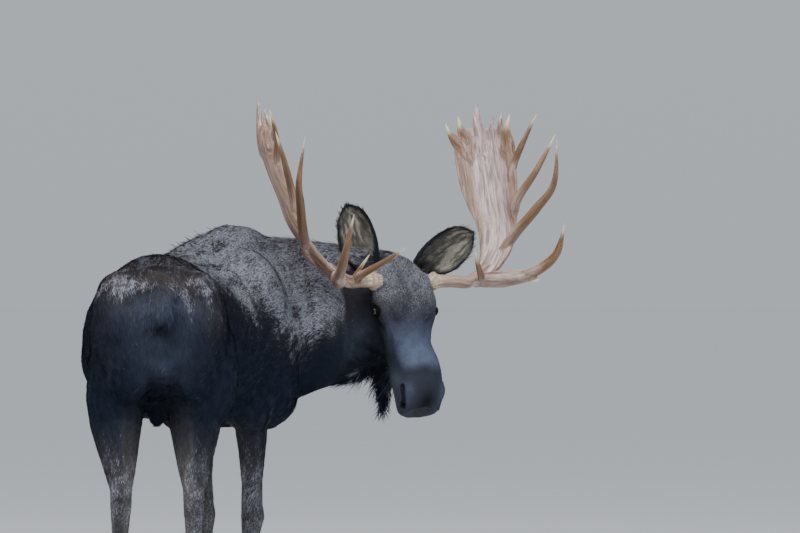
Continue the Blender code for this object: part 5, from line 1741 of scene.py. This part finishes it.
def dress_coat():
    """Covers the skin with tufts, in pieces that go from the rump to the nose."""
    about = bpy.context.scene.moose_coat
    mesh = BUILT["skin"].data
    rng = np.random.default_rng(about.seed)
    fullness, wider = about.fullness, 1.0
    rows = BUILT["rows"].copy()
    density = rows[:, 2] * fullness * (1 - BUILT["bare"])
    rows[:, 0] *= about.length
    rows[:, 1] *= wider
    region = BUILT["region"]
    flags = np.zeros((len(region), len(NODE_OF_REGION) + 1))
    flags[np.arange(len(region)), region] = 1.0
    columns = {
        "place": places_of(mesh),
        "normal": BUILT["normals"],
        "way": BUILT["way"],
        "size": rows,
        "region": flags,
        **BUILT["masks"],
    }
    roots = scatter(mesh, density, columns, rng)
    owner = np.array([*NODE_OF_REGION, "ears"])[np.argmax(roots.region, axis=1)]
    distance = along_spine(roots.place)[0]
    for name, nodes in COAT_PIECES.items():
        short = name not in LONG_COATS
        rows = np.flatnonzero(np.isin(owner, nodes))
        rows = rows[np.argsort(distance[rows], kind="stable")]
        pieces = 1 + len(rows) * len(SHORT_FACES if short else TUFT_FACES) // PIECE_TRIANGLES
        for number, part in enumerate(np.array_split(rows, pieces), 1):
            piece = make_tufts(f"{name}_{number}", roots.pick(part), rng, short)
            give(piece, BUILT["coat material"])
            finish_piece(piece, "hide")


def area_light(name, place, aim, size, power, colour):
    light = bpy.data.lights.new(name, "AREA")
    light.shape = "RECTANGLE"
    light.size, light.size_y = size
    light.energy = power
    light.color = colour
    obj = bpy.data.objects.new(name, light)
    obj.location = place
    obj.rotation_mode = "QUATERNION"
    obj.rotation_quaternion = (Vector(aim) - Vector(place)).to_track_quat("-Z", "Y")
    bpy.context.scene.collection.objects.link(obj)
    return obj


def build_stage():
    """The camera, the pale floor and the soft light."""
    scene = bpy.context.scene
    about = scene.moose_stage
    bm = bmesh.new()
    bmesh.ops.create_circle(bm, cap_ends=True, segments=96, radius=400.0)
    floor = object_from(bm, "floor")
    floor.location.z = -0.0004
    give(floor, floor_material(about.floor))
    camera = bpy.data.objects.new("camera", bpy.data.cameras.new("camera"))
    scene.collection.objects.link(camera)
    camera.data.sensor_width = 36.0
    camera.data.lens = about.lens
    camera.data.clip_end = 900.0
    camera.location = about.camera_place
    camera.rotation_mode = "QUATERNION"
    camera.rotation_quaternion = Vector(about.camera_way).to_track_quat("-Z", "Y")
    scene.camera = camera
    aim = (0.15, 0.1, 1.2)
    area_light("key_light", (1.6, 4.6, 7.2), aim, (5.0, 4.0), about.key, (1.0, 0.985, 0.97))
    area_light("fill_light", (-7.0, 3.5, 3.6), aim, (5.0, 4.0), about.fill, (0.86, 0.93, 1.0))
    area_light("back_light", (1.5, -6.5, 5.2), aim, (5.0, 3.0), about.fill, (0.92, 0.96, 1.0))
    world = bpy.data.worlds.new("studio_world")
    world.use_nodes = True
    sky = next(node for node in world.node_tree.nodes if node.type == "BACKGROUND")
    w = Wiring(world.node_tree)
    way = w.node("SeparateXYZ", Vector=w.tree.nodes.new("ShaderNodeTexCoord").outputs["Generated"]).outputs
    high = (0.84, 0.90, 0.98)
    share = 0.925 * about.floor[0] / (1 - 0.075 * about.floor[0])  # as bright as the floor that it lights
    level = tuple(h * share * f / about.floor[0] for h, f in zip(high, about.floor))
    w.put(sky.inputs["Color"], w.mix(w.step(way[2], 0.0, 0.5), level + (1.0,), high + (1.0,)))
    sky.inputs["Strength"].default_value = about.sky
    scene.world = world


# ---- Operators -----------------------------------------------------------------------------------
class MOOSE_OT_skin(bpy.types.Operator):
    """Build the one skin over the flesh, with its folds, lids and ears"""

    bl_idname = "moose.skin"
    bl_label = "Skin"

    def execute(self, context):
        hair_colour = hair_colour_group(context.scene.moose_colours)
        skin = dress_skin()
        give(skin, skin_material(hair_colour))
        finish_piece(skin, "hide", *FLESH_NODES)
        BUILT["coat material"] = coat_material(hair_colour)
        return {"FINISHED"}


class MOOSE_OT_coat(bpy.types.Operator):
    """Cover the skin with hair tufts"""

    bl_idname = "moose.coat"
    bl_label = "Coat"

    def execute(self, context):
        if "skin" not in BUILT:
            raise RuntimeError("the coat needs the skin: run moose.skin first")
        dress_coat()
        return {"FINISHED"}


class MOOSE_OT_eyes(bpy.types.Operator):
    """Set the two eyeballs into the lids"""

    bl_idname = "moose.eyes"
    bl_label = "Eyes"

    def execute(self, context):
        material = eye_material(context.scene.moose_colours)
        for label in MIRRORS:
            eye = make_eyeball(label)
            give(eye, material)
            finish_piece(eye, "eye", f"eye_{label}")
        return {"FINISHED"}


class MOOSE_OT_antlers(bpy.types.Operator):
    """Build both antlers with burrs, grooves and polished tips"""

    bl_idname = "moose.antlers"
    bl_label = "Antlers"

    def execute(self, context):
        material = antler_material(context.scene.moose_colours, BUILT["streaks"])
        for label in MIRRORS:
            antler = make_antler(label)
            give(antler, material)
            nodes = [f"antler_{label}_{part}" for part in ("beam", "brow", "fore_tine", "palm")]
            finish_piece(antler, "antler", *nodes)
        return {"FINISHED"}


class MOOSE_OT_feet(bpy.types.Operator):
    """Build the hooves and dewclaws of every foot"""

    bl_idname = "moose.feet"
    bl_label = "Hooves"

    def execute(self, context):
        material = hoof_material(context.scene.moose_colours, BUILT["streaks"])
        for leg in LEGS:
            foot, nodes = make_foot(leg)
            give(foot, material)
            finish_piece(foot, "hoof", *nodes)
        return {"FINISHED"}


class MOOSE_OT_stage(bpy.types.Operator):
    """Set up the camera, the floor and the light"""

    bl_idname = "moose.stage"
    bl_label = "Stage"

    def execute(self, context):
        build_stage()
        return {"FINISHED"}


class MOOSE_PT_panel(bpy.types.Panel):
    """The steps that dress the moose, with their sizes and colours"""

    bl_idname = "MOOSE_PT_panel"
    bl_label = "Bull moose"
    bl_space_type = "VIEW_3D"
    bl_region_type = "UI"
    bl_category = "Moose"

    def draw(self, context):
        for step in STEPS:
            self.layout.operator(step.bl_idname)
        for name in SETTINGS:
            box = self.layout.box()
            about = getattr(context.scene, name)
            for key in about.__annotations__:
                box.prop(about, key)


SETTINGS = {
    "moose_skin": MooseSkinSettings,
    "moose_coat": MooseCoatSettings,
    "moose_colours": MooseColourSettings,
    "moose_stage": MooseStageSettings,
}
STEPS = (MOOSE_OT_skin, MOOSE_OT_coat, MOOSE_OT_eyes, MOOSE_OT_antlers, MOOSE_OT_feet, MOOSE_OT_stage)


def register():
    for kind in (*SETTINGS.values(), *STEPS, MOOSE_PT_panel):
        bpy.utils.register_class(kind)
    for name, kind in SETTINGS.items():
        setattr(bpy.types.Scene, name, bpy.props.PointerProperty(type=kind))


def unregister():
    for name in SETTINGS:
        delattr(bpy.types.Scene, name)
    for kind in (MOOSE_PT_panel, *reversed(STEPS), *reversed(SETTINGS.values())):
        bpy.utils.unregister_class(kind)


def main():
    register()
    BUILT["streaks"] = streaks_group()
    for step in STEPS:
        family, name = step.bl_idname.split(".")
        getattr(getattr(bpy.ops, family), name)()


if __name__ == "__main__":
    main()
